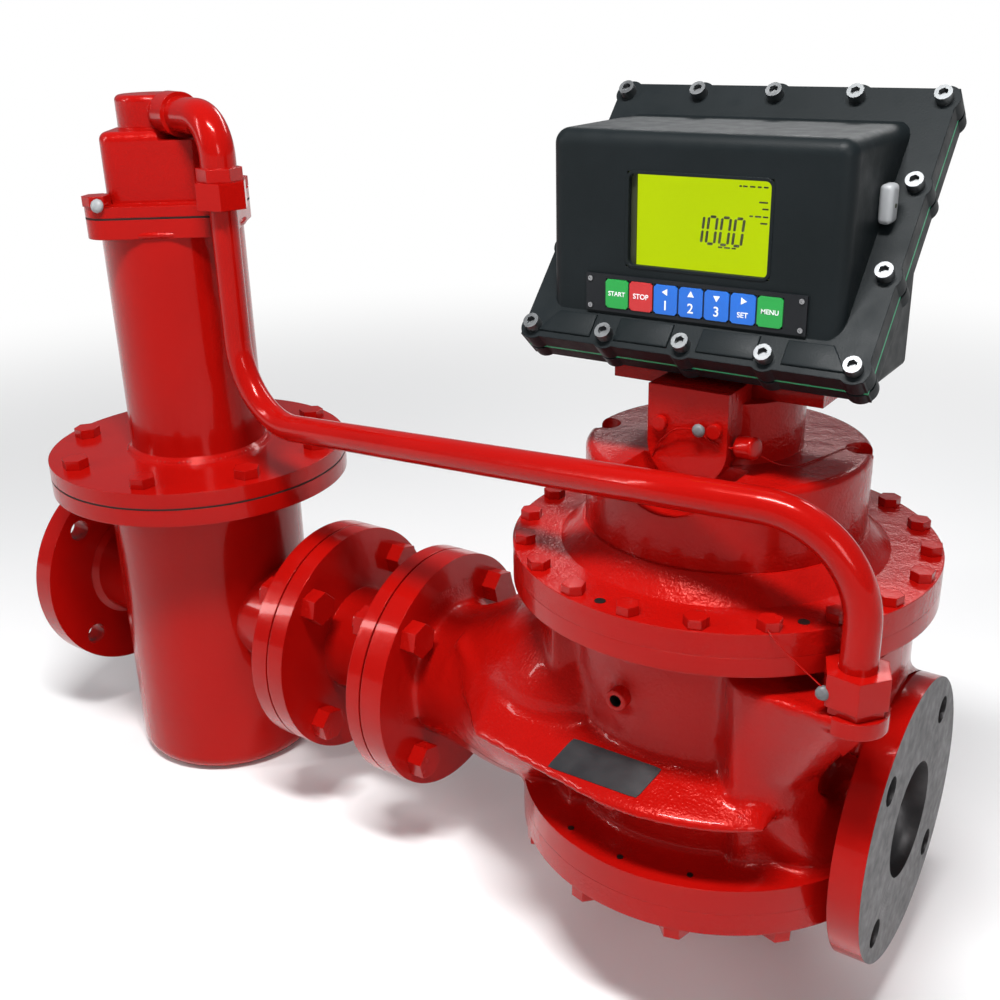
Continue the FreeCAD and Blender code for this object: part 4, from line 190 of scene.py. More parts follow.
floor = plain_floor(FLOOR_HALF, low_z - FLOOR_GAP)
floor.data.materials.append(floor_material())
print("floor at", round(low_z, 3))

# %% World and lamps
WORLD_LIGHT = 0.2


def workshop_world():
    """A dim, slightly blue light from all round, behind which the camera sees plain white."""
    made = bpy.data.worlds.new("workshop")
    made.use_nodes = True
    tree = made.node_tree
    sky = tree.nodes["Background"]
    sky.inputs["Color"].default_value = (0.92, 0.95, 1.0, 1)
    sky.inputs["Strength"].default_value = WORLD_LIGHT
    sheet = tree.nodes.new("ShaderNodeBackground")
    sheet.inputs["Color"].default_value = (1, 1, 1, 1)
    rays = tree.nodes.new("ShaderNodeLightPath")
    choice = tree.nodes.new("ShaderNodeMixShader")
    tree.links.new(rays.outputs["Is Camera Ray"], choice.inputs["Fac"])
    tree.links.new(sky.outputs["Background"], choice.inputs[1])
    tree.links.new(sheet.outputs["Background"], choice.inputs[2])
    tree.links.new(choice.outputs["Shader"], tree.nodes["World Output"].inputs["Surface"])
    return made


def soft_lamp(name, place, aim, width, height, watts):
    """A rectangular lamp at place that shines at aim."""
    data = bpy.data.lights.new(name, "AREA")
    data.shape = "RECTANGLE"
    data.size = width
    data.size_y = height
    data.energy = watts
    made = into_scene(name, data)
    made.location = place
    made.rotation_euler = (Vector(aim) - Vector(place)).to_track_quat("-Z", "Y").to_euler()


bpy.context.scene.world = workshop_world()
bpy.context.scene.view_settings.view_transform = "Standard"

# Name, place, aim, width, height and watts
LAMPS = (
    ("top_lamp", (0.7, -0.55, 1.5), (0.56, 0, 0.15), 0.6, 0.16, 32),
    ("left_lamp", (-1.0, -1.3, 1.1), (0.3, 0, 0.15), 0.12, 1.0, 10),
    ("right_lamp", (1.9, -1.1, 0.9), (0.6, 0, 0.15), 0.4, 0.6, 8),
    ("back_lamp", (0.3, 1.6, 1.3), (0.4, 0, 0.2), 1.4, 0.2, 12),
)
for lamp in LAMPS:
    soft_lamp(*lamp)
print("lamps:", len(LAMPS))

# %% [markdown]
# ## Building blocks for the finishes
# Each finish is a small tree of nodes that reads Object coordinates, so its grain has the same size
# on every part. A few helpers keep the trees short: one makes the material, the others add a noise,
# spread a value over a range, blend two colours, soften the corners' shading, or turn a height into
# bumps.

# %% Helpers for node trees
PATTERN_LOW, PATTERN_HIGH = 0.3, 0.7


def new_finish(name):
    """A node material with its tree, its shader and its Object coordinates."""
    made = bpy.data.materials.new(name)
    made.use_nodes = True
    tree = made.node_tree
    place = tree.nodes.new("ShaderNodeTexCoord").outputs["Object"]
    return made, tree, tree.nodes["Principled BSDF"], place


def noise(tree, place, scale, detail=2.0):
    """A cloudy pattern; a scale of 100 gives lumps about 10 mm wide."""
    made = tree.nodes.new("ShaderNodeTexNoise")
    made.inputs["Scale"].default_value = scale
    made.inputs["Detail"].default_value = detail
    tree.links.new(place, made.inputs["Vector"])
    return made.outputs["Fac"]


def spread(tree, value, low, high):
    """Spread a pattern's middle range over low to high."""
    made = tree.nodes.new("ShaderNodeMapRange")
    made.inputs["From Min"].default_value = PATTERN_LOW
    made.inputs["From Max"].default_value = PATTERN_HIGH
    made.inputs["To Min"].default_value = low
    made.inputs["To Max"].default_value = high
    tree.links.new(value, made.inputs["Value"])
    return made.outputs["Result"]


def blend(tree, factor, first, second):
    """Blend two colours by a pattern."""
    made = tree.nodes.new("ShaderNodeMix")
    made.data_type = "RGBA"
    made.inputs["A"].default_value = (*first, 1)
    made.inputs["B"].default_value = (*second, 1)
    tree.links.new(factor, made.inputs["Factor"])
    return made.outputs["Result"]


def soft_corners(tree, radius):
    """The surface's direction, rounded off at hard corners."""
    made = tree.nodes.new("ShaderNodeBevel")
    made.samples = 4
    made.inputs["Radius"].default_value = radius
    return made.outputs["Normal"]


def bumps(tree, height, depth, before=None):
    """Turn a pattern of 0 to 1 into bumps that are depth metres high."""
    made = tree.nodes.new("ShaderNodeBump")
    made.inputs["Distance"].default_value = depth
    tree.links.new(height, made.inputs["Height"])
    if before is not None:
        tree.links.new(before, made.inputs["Normal"])
    return made.outputs["Normal"]


finishes = {}
print("helpers for finishes ready")

# %% [markdown]
# ## Red paint
# One thick coat of glossy red covers the steel and the castings alike. On rolled plate and pipe it lies
# almost flat, with a faint orange peel. On the castings the rough sand surface shows through, so the
# gloss breaks up into small sparkles. Both come from one function with different bump sizes.
# The Bevel node softens the shading of hard corners, as a coat of paint does.

# %% Red paint on plate, castings and bolts
RED = (0.36, 0.0036, 0.0022)
DEEP_RED = (0.31, 0.0028, 0.0018)
WARM_GLOSS = (1.0, 0.2, 0.17, 1)
PAINT_CORNER = 0.0012


def red_paint(name, lump_scale, lump_depth, peel_scale, peel_depth, gloss):
    """Glossy red over a surface with lumps and an orange peel of the given sizes."""
    made, tree, shader, place = new_finish(name)
    tone = spread(tree, noise(tree, place, 9.0, 3.0), 0, 1)
    tree.links.new(blend(tree, tone, RED, DEEP_RED), shader.inputs["Base Color"])
    shine = spread(tree, noise(tree, place, 45.0), gloss - 0.03, gloss + 0.05)
    tree.links.new(shine, shader.inputs["Roughness"])
    lumps = bumps(tree, noise(tree, place, lump_scale, 3.0), lump_depth, soft_corners(tree, PAINT_CORNER))
    peel = bumps(tree, noise(tree, place, peel_scale), peel_depth, lumps)
    tree.links.new(peel, shader.inputs["Normal"])
    shader.inputs["Specular Tint"].default_value = WARM_GLOSS
    shader.inputs["Coat Weight"].default_value = 0.16
    shader.inputs["Coat Roughness"].default_value = 0.05
    shader.inputs["IOR"].default_value = 1.38
    return made


# Name, scale and depth of the lumps, scale and depth of the orange peel, roughness
RED_PAINTS = (
    ("red_paint", 26.0, 0.0005, 330.0, 0.00007, 0.18),
    ("red_casting", 95.0, 0.0007, 520.0, 0.00034, 0.22),
    ("red_bolts", 160.0, 0.0003, 420.0, 0.00008, 0.24),
)
for paint in RED_PAINTS:
    finishes[paint[0]] = red_paint(*paint)
print("red finishes:", list(finishes))

# %% [markdown]
# ## Bare and plated metal
# The outlet flange's face is turned in a lathe and left bare, so fine rings run round the bore. The
# register's screws are stainless steel, and the parts inside are plain machined steel, aluminium and
# brass.

# %% Metals
TOOL_MARKS = 0.00003


def turned_metal(name, colour, dark, roughness, ring_scale=0.0):
    """Machined metal, with lathe rings about the flow axis where ring_scale isn't 0."""
    made, tree, shader, place = new_finish(name)
    shader.inputs["Metallic"].default_value = 1.0
    tone = spread(tree, noise(tree, place, 35.0, 4.0), 0, 1)
    tree.links.new(blend(tree, tone, colour, dark), shader.inputs["Base Color"])
    wear = spread(tree, noise(tree, place, 140.0, 3.0), roughness, roughness + 0.14)
    tree.links.new(wear, shader.inputs["Roughness"])
    if ring_scale:
        rings = tree.nodes.new("ShaderNodeTexWave")
        rings.wave_type = "RINGS"
        rings.rings_direction = "X"
        rings.inputs["Scale"].default_value = ring_scale
        rings.inputs["Distortion"].default_value = 0.4
        tree.links.new(place, rings.inputs["Vector"])
        pattern = rings.outputs["Fac"]
    else:
        pattern = noise(tree, place, 700.0)
    tree.links.new(bumps(tree, pattern, TOOL_MARKS), shader.inputs["Normal"])
    return made


# Name, colour, darker colour, roughness, and the lathe rings' scale
METALS = (
    ("stainless", (0.22, 0.23, 0.235), (0.17, 0.175, 0.18), 0.36),
    ("zinc_steel", (0.5, 0.5, 0.46), (0.36, 0.36, 0.34), 0.32),
    ("inner_steel", (0.42, 0.42, 0.43), (0.3, 0.3, 0.31), 0.3),
    ("inner_aluminium", (0.66, 0.67, 0.69), (0.52, 0.53, 0.55), 0.3),
    ("brass", (0.62, 0.44, 0.17), (0.5, 0.33, 0.11), 0.26),
    # Very dark metal, painted shade for the outlet's deep bore and for holes
    ("painted_hole_shade", (0.05, 0.045, 0.042), (0.025, 0.022, 0.02), 0.5),
    ("bare_face", (0.115, 0.11, 0.112), (0.075, 0.071, 0.073), 0.42, 150.0),
)
for metal in METALS:
    finishes[metal[0]] = turned_metal(*metal)
print("metal finishes:", len(METALS))

# %% [markdown]
# ## Register case, rubber, fibre and plastics
# The register's case is cast aluminium under black powder coat: dark, satin and finely pebbled. Its
# seal is a green rubber sheet. The strip with the keys is printed film, flat and nearly matt. All of
# them are one kind of surface with other numbers, so one function and a table make them.

# %% Case, rubber and plastics


def coated(name, colour, other, roughness, grain_scale, grain_depth, corner=0.0, gloss=0.5):
    """A matt to satin surface with a fine grain."""
    made, tree, shader, place = new_finish(name)
    tone = spread(tree, noise(tree, place, 22.0, 4.0), 0, 1)
    tree.links.new(blend(tree, tone, colour, other), shader.inputs["Base Color"])
    shine = spread(tree, noise(tree, place, 90.0, 3.0), roughness - 0.05, roughness + 0.07)
    tree.links.new(shine, shader.inputs["Roughness"])
    before = soft_corners(tree, corner) if corner else None
    grain = bumps(tree, noise(tree, place, grain_scale), grain_depth, before)
    tree.links.new(grain, shader.inputs["Normal"])
    shader.inputs["Specular IOR Level"].default_value = gloss
    return made


# Name, two colours, roughness, scale and depth of the grain, soft corner and gloss
COATS = (
    ("black_case", (0.0062, 0.0088, 0.0098), (0.008, 0.011, 0.0125), 0.45, 900.0, 0.00008, 0.001, 0.13),
    ("gasket_green", (0.012, 0.34, 0.15), (0.01, 0.27, 0.12), 0.5, 500.0, 0.00004),
    ("gasket_dark", (0.02, 0.009, 0.008), (0.03, 0.012, 0.011), 0.75, 600.0, 0.00006, 0.0, 0.15),
    ("board_green", (0.01, 0.13, 0.05), (0.008, 0.1, 0.04), 0.45, 300.0, 0.00003),
    ("strip_black", (0.008, 0.009, 0.011), (0.012, 0.013, 0.015), 0.4, 1200.0, 0.00002, 0.0, 0.2),
    ("key_green", (0.01, 0.29, 0.045), (0.012, 0.26, 0.05), 0.36, 1200.0, 0.00002, 0.0005),
    ("key_red", (0.46, 0.02, 0.022), (0.42, 0.018, 0.02), 0.36, 1200.0, 0.00002, 0.0005),
    ("key_blue", (0.01, 0.13, 0.55), (0.012, 0.115, 0.5), 0.36, 1200.0, 0.00002, 0.0005),
    ("seal_grey", (0.34, 0.35, 0.36), (0.28, 0.29, 0.3), 0.42, 700.0, 0.00006, 0.0008),
    ("ink_white", (0.8, 0.81, 0.82), (0.75, 0.76, 0.77), 0.5, 900.0, 0.00001),
    ("ink_black", (0.02, 0.025, 0.01), (0.03, 0.035, 0.012), 0.5, 900.0, 0.00001),
    ("lead", (0.17, 0.175, 0.18), (0.09, 0.09, 0.095), 0.42, 420.0, 0.0005, 0.0005),
    ("plate_dark", (0.012, 0.012, 0.014), (0.02, 0.02, 0.022), 0.35, 800.0, 0.00003),
)
for coat in COATS:
    finishes[coat[0]] = coated(*coat)
print("coated finishes:", len(COATS))

# %% [markdown]
# ## Display and window
# The display glows yellow-green behind a clear window. A lit surface needs emission, and a faint
# cloudiness keeps it from looking like a flat sticker. The window hardly bends the light, so what
# stands behind it shows in its true place.

# %% Display and window


def lit_display():
    """A glowing panel with a faint variation of its light."""
    made, tree, shader, place = new_finish("display")
    glow = spread(tree, noise(tree, place, 11.0, 1.0), 0, 1)
    light = blend(tree, glow, (0.52, 0.66, 0.004), (0.46, 0.6, 0.004))
    tree.links.new(light, shader.inputs["Emission Color"])
    shader.inputs["Base Color"].default_value = (0.05, 0.06, 0.01, 1)
    shader.inputs["Emission Strength"].default_value = 0.95
    shader.inputs["Roughness"].default_value = 0.5
    return made


def clear_window():
    """A thin clear pane with a slight waviness."""
    made, tree, shader, place = new_finish("window_clear")
    shader.inputs["Base Color"].default_value = (0.97, 1.0, 0.97, 1)
    shader.inputs["Roughness"].default_value = 0.03
    shader.inputs["Transmission Weight"].default_value = 1.0
    shader.inputs["IOR"].default_value = 1.1
    tree.links.new(bumps(tree, noise(tree, place, 30.0, 1.0), 0.00002), shader.inputs["Normal"])
    return made


finishes["display"] = lit_display()
finishes["window_clear"] = clear_window()
print("display and window finishes done")

# %% [markdown]
# ## Dressing the CAD parts
# The CAD record names a material slot for every part, and each slot has a finish of the same name.
# The small screws on the gear housing were painted over, so they get the red of the bolts.

# %% Give every CAD node its finish
painted_over = {"seal_screws": "red_bolts"}
for part in frame["record"]["subparts"]:
    target = nodes[part["node"]].data.materials
    target.clear()
    target.append(finishes[painted_over.get(part["node"], part["material_slot"])])
print("finishes:", len(finishes), "on", len(nodes), "nodes")

# %% [markdown]
# ## Working on copies of CAD parts
# A CAD part comes as loose triangles. To rework one, its mesh is copied and its doubled vertices are
# merged. The original stays in the frame, hidden, and the new piece stands for it. The same few lines
# then give a mesh a finish, a material slot and a body to ride on.

# %% Helpers for pieces
UPRIGHT = Matrix.Rotation(math.pi / 2, 3, "X")


def merged_copy(name):
    """A CAD node's mesh as a bmesh with its doubles merged."""
    bm = bmesh.new()
    bm.from_mesh(nodes[name].data)
    bmesh.ops.remove_doubles(bm, verts=bm.verts, dist=1e-6)
    return bm


def make_piece(name, bm, finish, body=ROOT_BODY, smooth=None):
    """Turn a bmesh into a piece with a finish that rides on a body."""
    if smooth is not None:
        for face in bm.faces:
            face.smooth = True
        for edge in bm.edges:
            edge.smooth = edge.calc_face_angle(0.0) < math.radians(smooth)
    mesh = bpy.data.meshes.new(name)
    bm.to_mesh(mesh)
    bm.free()
    made = into_scene(name, mesh)
    mesh.materials.append(finishes[finish])
    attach(made, body)
    return made


def join_into(bm, other):
    """Add a bmesh's geometry to another one."""
    mesh = bpy.data.meshes.new("joining")
    other.to_mesh(mesh)
    other.free()
    bm.from_mesh(mesh)
    bpy.data.meshes.remove(mesh)


def moved(bm, place):
    """Move a bmesh to its place."""
    bmesh.ops.translate(bm, verts=bm.verts, vec=place)
    return bm


def rotated(bm, turn):
    """Turn a bmesh about the origin."""
    bmesh.ops.rotate(bm, verts=bm.verts, cent=(0, 0, 0), matrix=turn)
    return bm


def turned_to(bm, way, place):
    """Turn a bmesh from the Z axis to a direction and move it to its place."""
    return moved(rotated(bm, way.to_track_quat("Z", "Y").to_matrix()), place)


def cut_off(bm, place, way):
    """Cut a bmesh at a place and drop what lies on the side of the given direction."""
    whole = bm.verts[:] + bm.edges[:] + bm.faces[:]
    bmesh.ops.bisect_plane(bm, geom=whole, plane_co=place, plane_no=way, clear_outer=True)


def relaxed(bm, rounds=1):
    """Let every point move half way to the middle of its neighbours, a number of times."""
    for _ in range(rounds):
        bmesh.ops.smooth_vert(bm, verts=bm.verts, factor=0.5,
                              use_axis_x=True, use_axis_y=True, use_axis_z=True)
    return bm


def rounded(bm, geom, size, segments, affect="EDGES"):
    """Round edges or corners of a bmesh."""
    bmesh.ops.bevel(bm, geom=geom, offset=size, segments=segments, profile=0.5, affect=affect,
                    material=-1)
    return bm


print("helpers for pieces ready")

# %% [markdown]
# ## The meter's casting
# Sand castings have no sharp inner corners: every neck and rib runs into the wall with a radius, and
# the surface dips and swells a little. A voxel remesh welds the CAD forms into one skin, and smoothing
# rounds all corners, much as a pattern maker's fillets do. The flanges and rings are machined, so they
# keep their crisp CAD edges: slices of the CAD mesh that hold them are laid over the soft skin.

# %% Soft skin of the casting
VOXEL = 0.0025
SMOOTH_ROUNDS = 14
INLET_FLANGE_BACK = 0.4099
OUTLET_FLANGE_BACK = 0.756
TOP_RING_LOW = 0.1433
LOW_RING_TOP = -0.010
INNER_WALL = 0.0965
INNER_FLOOR = -0.027
# How far the soft skin runs on into a flange or a ring
SKIN_LAP = 0.006


def remeshed(bm, size):
    """The same shape as an even skin of small squares."""
    mesh = bpy.data.meshes.new("skin")
    bm.to_mesh(mesh)
    bm.free()
    shape = into_scene("skin", mesh)
    even = shape.modifiers.new("even", "REMESH")
    even.mode = "VOXEL"
    even.voxel_size = size
    seen = shape.evaluated_get(bpy.context.evaluated_depsgraph_get())
    made = bmesh.new()
    made.from_mesh(seen.to_mesh())
    seen.to_mesh_clear()
    bpy.data.objects.remove(shape)
    bpy.data.meshes.remove(mesh)
    return made


def inside_bore(point):
    """True on the casting's inner walls, which nobody sees."""
    return math.hypot(point.x - METER_X, point.y) < INNER_WALL and point.z > INNER_FLOOR


def soft_casting():
    """The casting's necks, bulges and belt as one smooth skin, without its machined ends."""
    bm = remeshed(merged_copy("meter_body"), VOXEL)
    hidden = [face for face in bm.faces if inside_bore(face.calc_center_median())]
    bmesh.ops.delete(bm, geom=hidden, context="FACES")
    relaxed(bm, SMOOTH_ROUNDS)
    cut_off(bm, (INLET_FLANGE_BACK - SKIN_LAP, 0, 0), (-1, 0, 0))
    cut_off(bm, (OUTLET_FLANGE_BACK + SKIN_LAP, 0, 0), (1, 0, 0))
    cut_off(bm, (METER_X, 0, TOP_RING_LOW + SKIN_LAP), (0, 0, 1))
    cut_off(bm, (METER_X, 0, LOW_RING_TOP - SKIN_LAP), (0, 0, -1))
    return bm


skin = make_piece("casting_skin", soft_casting(), "red_casting", smooth=180)
print("casting skin:", len(skin.data.polygons), "faces")

# %% Crisp machined ends of the casting
# Places beyond the casting on each side, and how far a slice laps over the skin
BEFORE_INLET, BEYOND_OUTLET = 0.38, 0.79
UNDER_CASTING, OVER_CASTING = -0.11, 0.17
SLICE_LAP = 0.0005


def slice_between(bm, place_low, place_high, axis):
    """Keep what lies between two places along an axis."""
    way = Vector((0, 0, 0))
    way[axis] = 1
    cut_off(bm, way * place_low, -way)
    cut_off(bm, way * place_high, way)
    return bm


def machined_ends():
    """The flanges and rings of the casting, cut from the CAD mesh."""
    inlet, outlet = INLET_FLANGE_BACK + SLICE_LAP, OUTLET_FLANGE_BACK - SLICE_LAP
    ends = slice_between(merged_copy("meter_body"), BEFORE_INLET, inlet, 0)
    join_into(ends, slice_between(merged_copy("meter_body"), outlet, BEYOND_OUTLET, 0))
    for low, high in ((TOP_RING_LOW - SLICE_LAP, OVER_CASTING), (UNDER_CASTING, LOW_RING_TOP + SLICE_LAP)):
        ring = slice_between(merged_copy("meter_body"), low, high, 2)
        join_into(ends, slice_between(ring, inlet, outlet, 0))
    return ends


ends = make_piece("casting_ends", machined_ends(), "red_paint", smooth=30)
print("machined ends:", len(ends.data.polygons), "faces")

# %% Bare metal, and painted shade in the bore
OUTLET_FACE = 0.776
FACE_DEPTH = 0.0004
FLANGE_RADIUS = 0.0955
BOLT_RING = 0.0762
BOLT_OFFSET = BOLT_RING / math.sqrt(2)
BORE = 0.0405
BORE_SHADE_ROOM = 0.004
BORE_SHADE_START = 0.70
HOLE = 0.0098


def is_bare(point):
    """True on the outlet's turned face, in its bore and in its bolt holes."""
    out = math.hypot(point.y, point.z)
    near_hole = math.hypot(abs(point.y) - BOLT_OFFSET, abs(point.z) - BOLT_OFFSET)
    on_face = point.x > OUTLET_FACE - FACE_DEPTH and out < FLANGE_RADIUS
    return on_face or out < BORE or near_hole < HOLE


ends.data.materials.append(finishes["bare_face"])
skin.data.materials.append(finishes["painted_hole_shade"])
for face in ends.data.polygons:
    if face.center.x > OUTLET_FLANGE_BACK - 0.001 and is_bare(face.center):
        face.material_index = 1
# Faces deep in the outlet's bore get painted shade
for face in skin.data.polygons:
    if face.center.x > BORE_SHADE_START and math.hypot(face.center.y, face.center.z) < BORE + BORE_SHADE_ROOM:
        face.material_index = 1
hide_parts("meter_body")
print("bare faces:", sum(face.material_index for face in ends.data.polygons))

# %% [markdown]
# ## Looking along the camera's rays
# Some small things, such as the plate on the belt, are known only by where they show in the photograph.
# A ray from the camera through such a pixel meets the casting's skin at their place. A search tree
# finds that point fast, and gives the skin's direction there too, so the thing can lie on the surface.

# %% Rays through pixels
FOCAL_PIXELS = 1215.74
PICTURE = 1000


def ray_through(u, v):
    """The direction from the camera through a pixel."""
    across = (u - PICTURE / 2) / FOCAL_PIXELS
    down = (v - PICTURE / 2) / FOCAL_PIXELS
    return (forward + across * right - down * up).normalized()


skin_points = [vertex.co for vertex in skin.data.vertices]
casting_tree = BVHTree.FromPolygons(skin_points, [face.vertices for face in skin.data.polygons])


def on_skin(u, v):
    """The place and the direction of the casting's skin that a pixel shows."""
    return casting_tree.ray_cast(CAMERA_PLACE, ray_through(u, v))[:2]


def on_plane(axis, height, u, v):
    """The place where a pixel's ray meets the plane at a height along an axis."""
    ray = ray_through(u, v)
    return CAMERA_PLACE + ray * ((height - CAMERA_PLACE[axis]) / ray[axis])


print("middle of the belt is at", [round(part, 3) for part in on_skin(640, 770)[0]])

# %% [markdown]
# ## Plate, ports and drain holes of the casting
# A thin dark plate lies on the belt. It starts as a small grid, and every point of the grid is carried
# down a ray on to the skin, so the plate follows the casting. The ports are short round bosses with a
# hole: a cone of two equal ends, whose end face is inset and pushed in, and the hole is coloured with
# painted shade. The drain holes and the holes for jack screws are so small that thin discs of painted
# shade stand for them.

# %% The plate on the belt
PLATE_CORNERS = ((545, 767), (637, 800), (665, 769), (573, 737))
PLATE_LIFT = 0.0006


def plate_on_belt():
    """A thin plate that lies on the casting between four pixels."""
    bm = bmesh.new()
    bmesh.ops.create_grid(bm, x_segments=10, y_segments=6, size=0.5)
    low_left, low_right, top_right, top_left = (Vector(corner) for corner in PLATE_CORNERS)
    for vert in bm.verts:
        along, above = vert.co.x + 0.5, vert.co.y + 0.5
        low, top = low_left.lerp(low_right, along), top_left.lerp(top_right, along)
        place, way = on_skin(*low.lerp(top, above))
        vert.co = place + way * PLATE_LIFT
    relaxed(bm)
    bmesh.ops.solidify(bm, geom=bm.faces, thickness=PLATE_LIFT)
    bmesh.ops.recalc_face_normals(bm, faces=bm.faces)
    return bm


make_piece("belt_plate", plate_on_belt(), "plate_dark", smooth=30)
print("plate on the belt done")

# %% Port bosses, and painted shade for holes
TO_FRONT = Vector((0, -1, 0))
TO_TOP = Vector((0, 0, 1))
PORT_LONG = 0.008
PORT_HOLE = 0.0038
# The hole's depth as a share of the boss
PORT_DEPTH = 0.8
COVER_RING_TOP = 0.1706
DRAIN_HOLE, DRAIN_DISC = 0.0021, 0.0008
JACK_HOLE, JACK_DISC = 0.0034, 0.0006


def disc(radius, deep, segments=24):
    """A flat round slab along Z."""
    bm = bmesh.new()
    bmesh.ops.create_cone(bm, cap_ends=True, segments=segments, radius1=radius, radius2=radius, depth=deep)
    return bm


def upper_end(bm):
    """The face of a slab that looks up."""
    return max(bm.faces, key=lambda face: face.calc_center_median().z)


def is_rim(edge, height, hole):
    """True on the outer round edge of a boss's upper end."""
    first, second = edge.verts
    level = all(abs(v.co.z - height) < 1e-6 and v.co.length > hole for v in edge.verts)
    return level and abs(first.co.xy.length - second.co.xy.length) < 1e-6


def port(radius, long, hole):
    """A round boss with a hole in its upper end; the hole's faces have the second material, painted shade.
    """
    bm = disc(radius, long, 32)
    end = upper_end(bm)
    bmesh.ops.inset_region(bm, faces=[end], thickness=radius - hole)
    down = bmesh.ops.inset_region(bm, faces=[end], thickness=0.0001, depth=-long * PORT_DEPTH)
    for face in down["faces"] + [end]:
        face.material_index = 1
    return rounded(bm, [edge for edge in bm.edges if is_rim(edge, long / 2, hole)], 0.0007, 3)


# Name, the boss's middle and its radius
PORTS = (
    ("upper_port", (METER_X - 0.0176, -0.1075, 0.0955), 0.0072),
    ("drain_port", (METER_X - 0.022, -0.1065, 0.018), 0.0068),
)
for name, place, radius in PORTS:
    shape = turned_to(port(radius, PORT_LONG, PORT_HOLE), TO_FRONT, place)
    boss = make_piece(name, shape, "red_casting", smooth=35)
    boss.data.materials.append(finishes["painted_hole_shade"])
# Thin discs of painted shade stand for the drain holes and the jack holes
for number, (u, v) in enumerate(((571, 828), (620, 857), (690, 875))):
    place, way = on_skin(u, v)
    spot = turned_to(disc(DRAIN_HOLE, DRAIN_DISC), way, place)
    make_piece(f"drain_hole_{number}", spot, "painted_hole_shade")
for number, (u, v) in enumerate(((600, 601), (804, 622))):
    spot = turned_to(disc(JACK_HOLE, JACK_DISC), TO_TOP, on_plane(2, COVER_RING_TOP, u, v))
    make_piece(f"jack_hole_{number}", spot, "painted_hole_shade")
print("ports and holes done")

# %% [markdown]
# ## Weld beads
# Welds join the tower to its plate and its flange, and the shell to its ring. A bead is a small
# round-bellied ring with a ripple for each step of the welder's hand. Its profile is spun round the
# pipe, and the ripple moves each ring of points in and out a little.

# %% Weld beads
RIPPLE = 0.0035
RIPPLE_DEPTH = 0.16
SLOW_WAVES = 7
TOWER_RADIUS = 0.0572
SHELL_RADIUS = 0.0825
BOLT_HEAD = 0.008
TOWER_FLANGE = 0.0125
SHELL_RING = 0.014


def weld_bead(centre, radius, size):
    """A rippled bead round an upright pipe."""
    bm = bmesh.new()
    bmesh.ops.create_circle(bm, segments=10, radius=size, cap_ends=False)
    moved(rotated(bm, UPRIGHT), (radius, 0, 0))
    steps = int(2 * math.pi * radius / RIPPLE) * 3
    bmesh.ops.spin(bm, geom=bm.verts[:] + bm.edges[:], cent=(0, 0, 0), axis=(0, 0, 1),
                   angle=2 * math.pi, steps=steps, use_merge=True)
    for vert in bm.verts:
        turn = math.atan2(vert.co.y, vert.co.x)
        ring = Vector((math.cos(turn), math.sin(turn), 0)) * radius
        quick = 0.5 + 0.5 * math.sin(turn * radius / RIPPLE * 2 * math.pi)
        slow = 0.4 * math.sin(turn * SLOW_WAVES)
        vert.co = ring + (vert.co - ring) * (1 + RIPPLE_DEPTH * (quick + slow))
    bmesh.ops.recalc_face_normals(bm, faces=bm.faces)
    return turned_to(bm, TO_TOP, centre)


plate_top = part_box("cover_bolts")[1][2] - BOLT_HEAD
flange_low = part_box("strainer_cover")[1][2] - TOWER_FLANGE
ring_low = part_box("strainer_vessel")[1][2] - SHELL_RING
# Name, height, radius of the pipe and of the bead
BEADS = (
    ("tower_weld", plate_top, TOWER_RADIUS, 0.0035),
    ("tower_flange_weld", flange_low, TOWER_RADIUS, 0.0025),
    ("shell_weld", ring_low, SHELL_RADIUS, 0.003),
)
for name, height, radius, size in BEADS:
    make_piece(name, weld_bead((VESSEL_X, 0, height), radius, size), "red_paint", smooth=60)
print("weld beads:", len(BEADS))

# %% [markdown]
# ## The register's front
# The window has rounded corners and a small lip, which the plain opening of the CAD case lacks. A
# rounded plate is a square whose corners are bevelled. An inset turns it into a ring, and solidify gives
# it its thickness. All of these plates face the front, because the register's face stands upright.

# %% Window lip, and painted shade at the window's left edge
FACE_Y = -0.060
LIP_WIDE, LIP_TALL = 0.0894, 0.0554
LIP_PROUD = 0.0003
WINDOW_X, WINDOW_Z = METER_X + 0.0015, 0.381
EDGE_SHADE_PLACE = (WINDOW_X - 0.0415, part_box("window")[0][1] - 0.0013, WINDOW_Z)


def rounded_plate(wide, tall, corner, deep, ring=0.0):
    """A rounded slab that stands with its front at y = 0, or a frame where ring isn't 0."""
    bm = bmesh.new()
    bmesh.ops.create_grid(bm, x_segments=1, y_segments=1, size=0.5)
    bmesh.ops.scale(bm, verts=bm.verts, vec=(wide, tall, 1))
    rounded(bm, bm.verts[:], corner, 6, "VERTICES")
    if ring:
        middle = bm.faces[:]
        bmesh.ops.inset_region(bm, faces=middle, thickness=ring, use_even_offset=True, use_boundary=True)
        bmesh.ops.delete(bm, geom=middle, context="FACES")
    bmesh.ops.solidify(bm, geom=bm.faces, thickness=deep)
    rotated(bm, UPRIGHT)
    moved(bm, (0, -min(vert.co.y for vert in bm.verts), 0))
    bmesh.ops.recalc_face_normals(bm, faces=bm.faces)
    return bm


lip = rounded_plate(LIP_WIDE, LIP_TALL, 0.0052, 0.0035, ring=0.0019)
make_piece("window_lip", moved(lip, (WINDOW_X, FACE_Y - LIP_PROUD, WINDOW_Z)), "black_case", smooth=40)
# A black strip at the window's left edge is painted shade of the recess between the window and the display
edge = rounded_plate(0.004, 0.053, 0.0008, 0.0012)
make_piece("window_edge_shade", moved(edge, EDGE_SHADE_PLACE), "ink_black")
print("window lip done")

# %% [markdown]
# ## Figures on the display
# A digit of such a display is made of seven bars. Each bar is a thin slab with cut corners, and the
# whole row leans a little to the right. Only a plain number stands on it, with short dashes beside it.

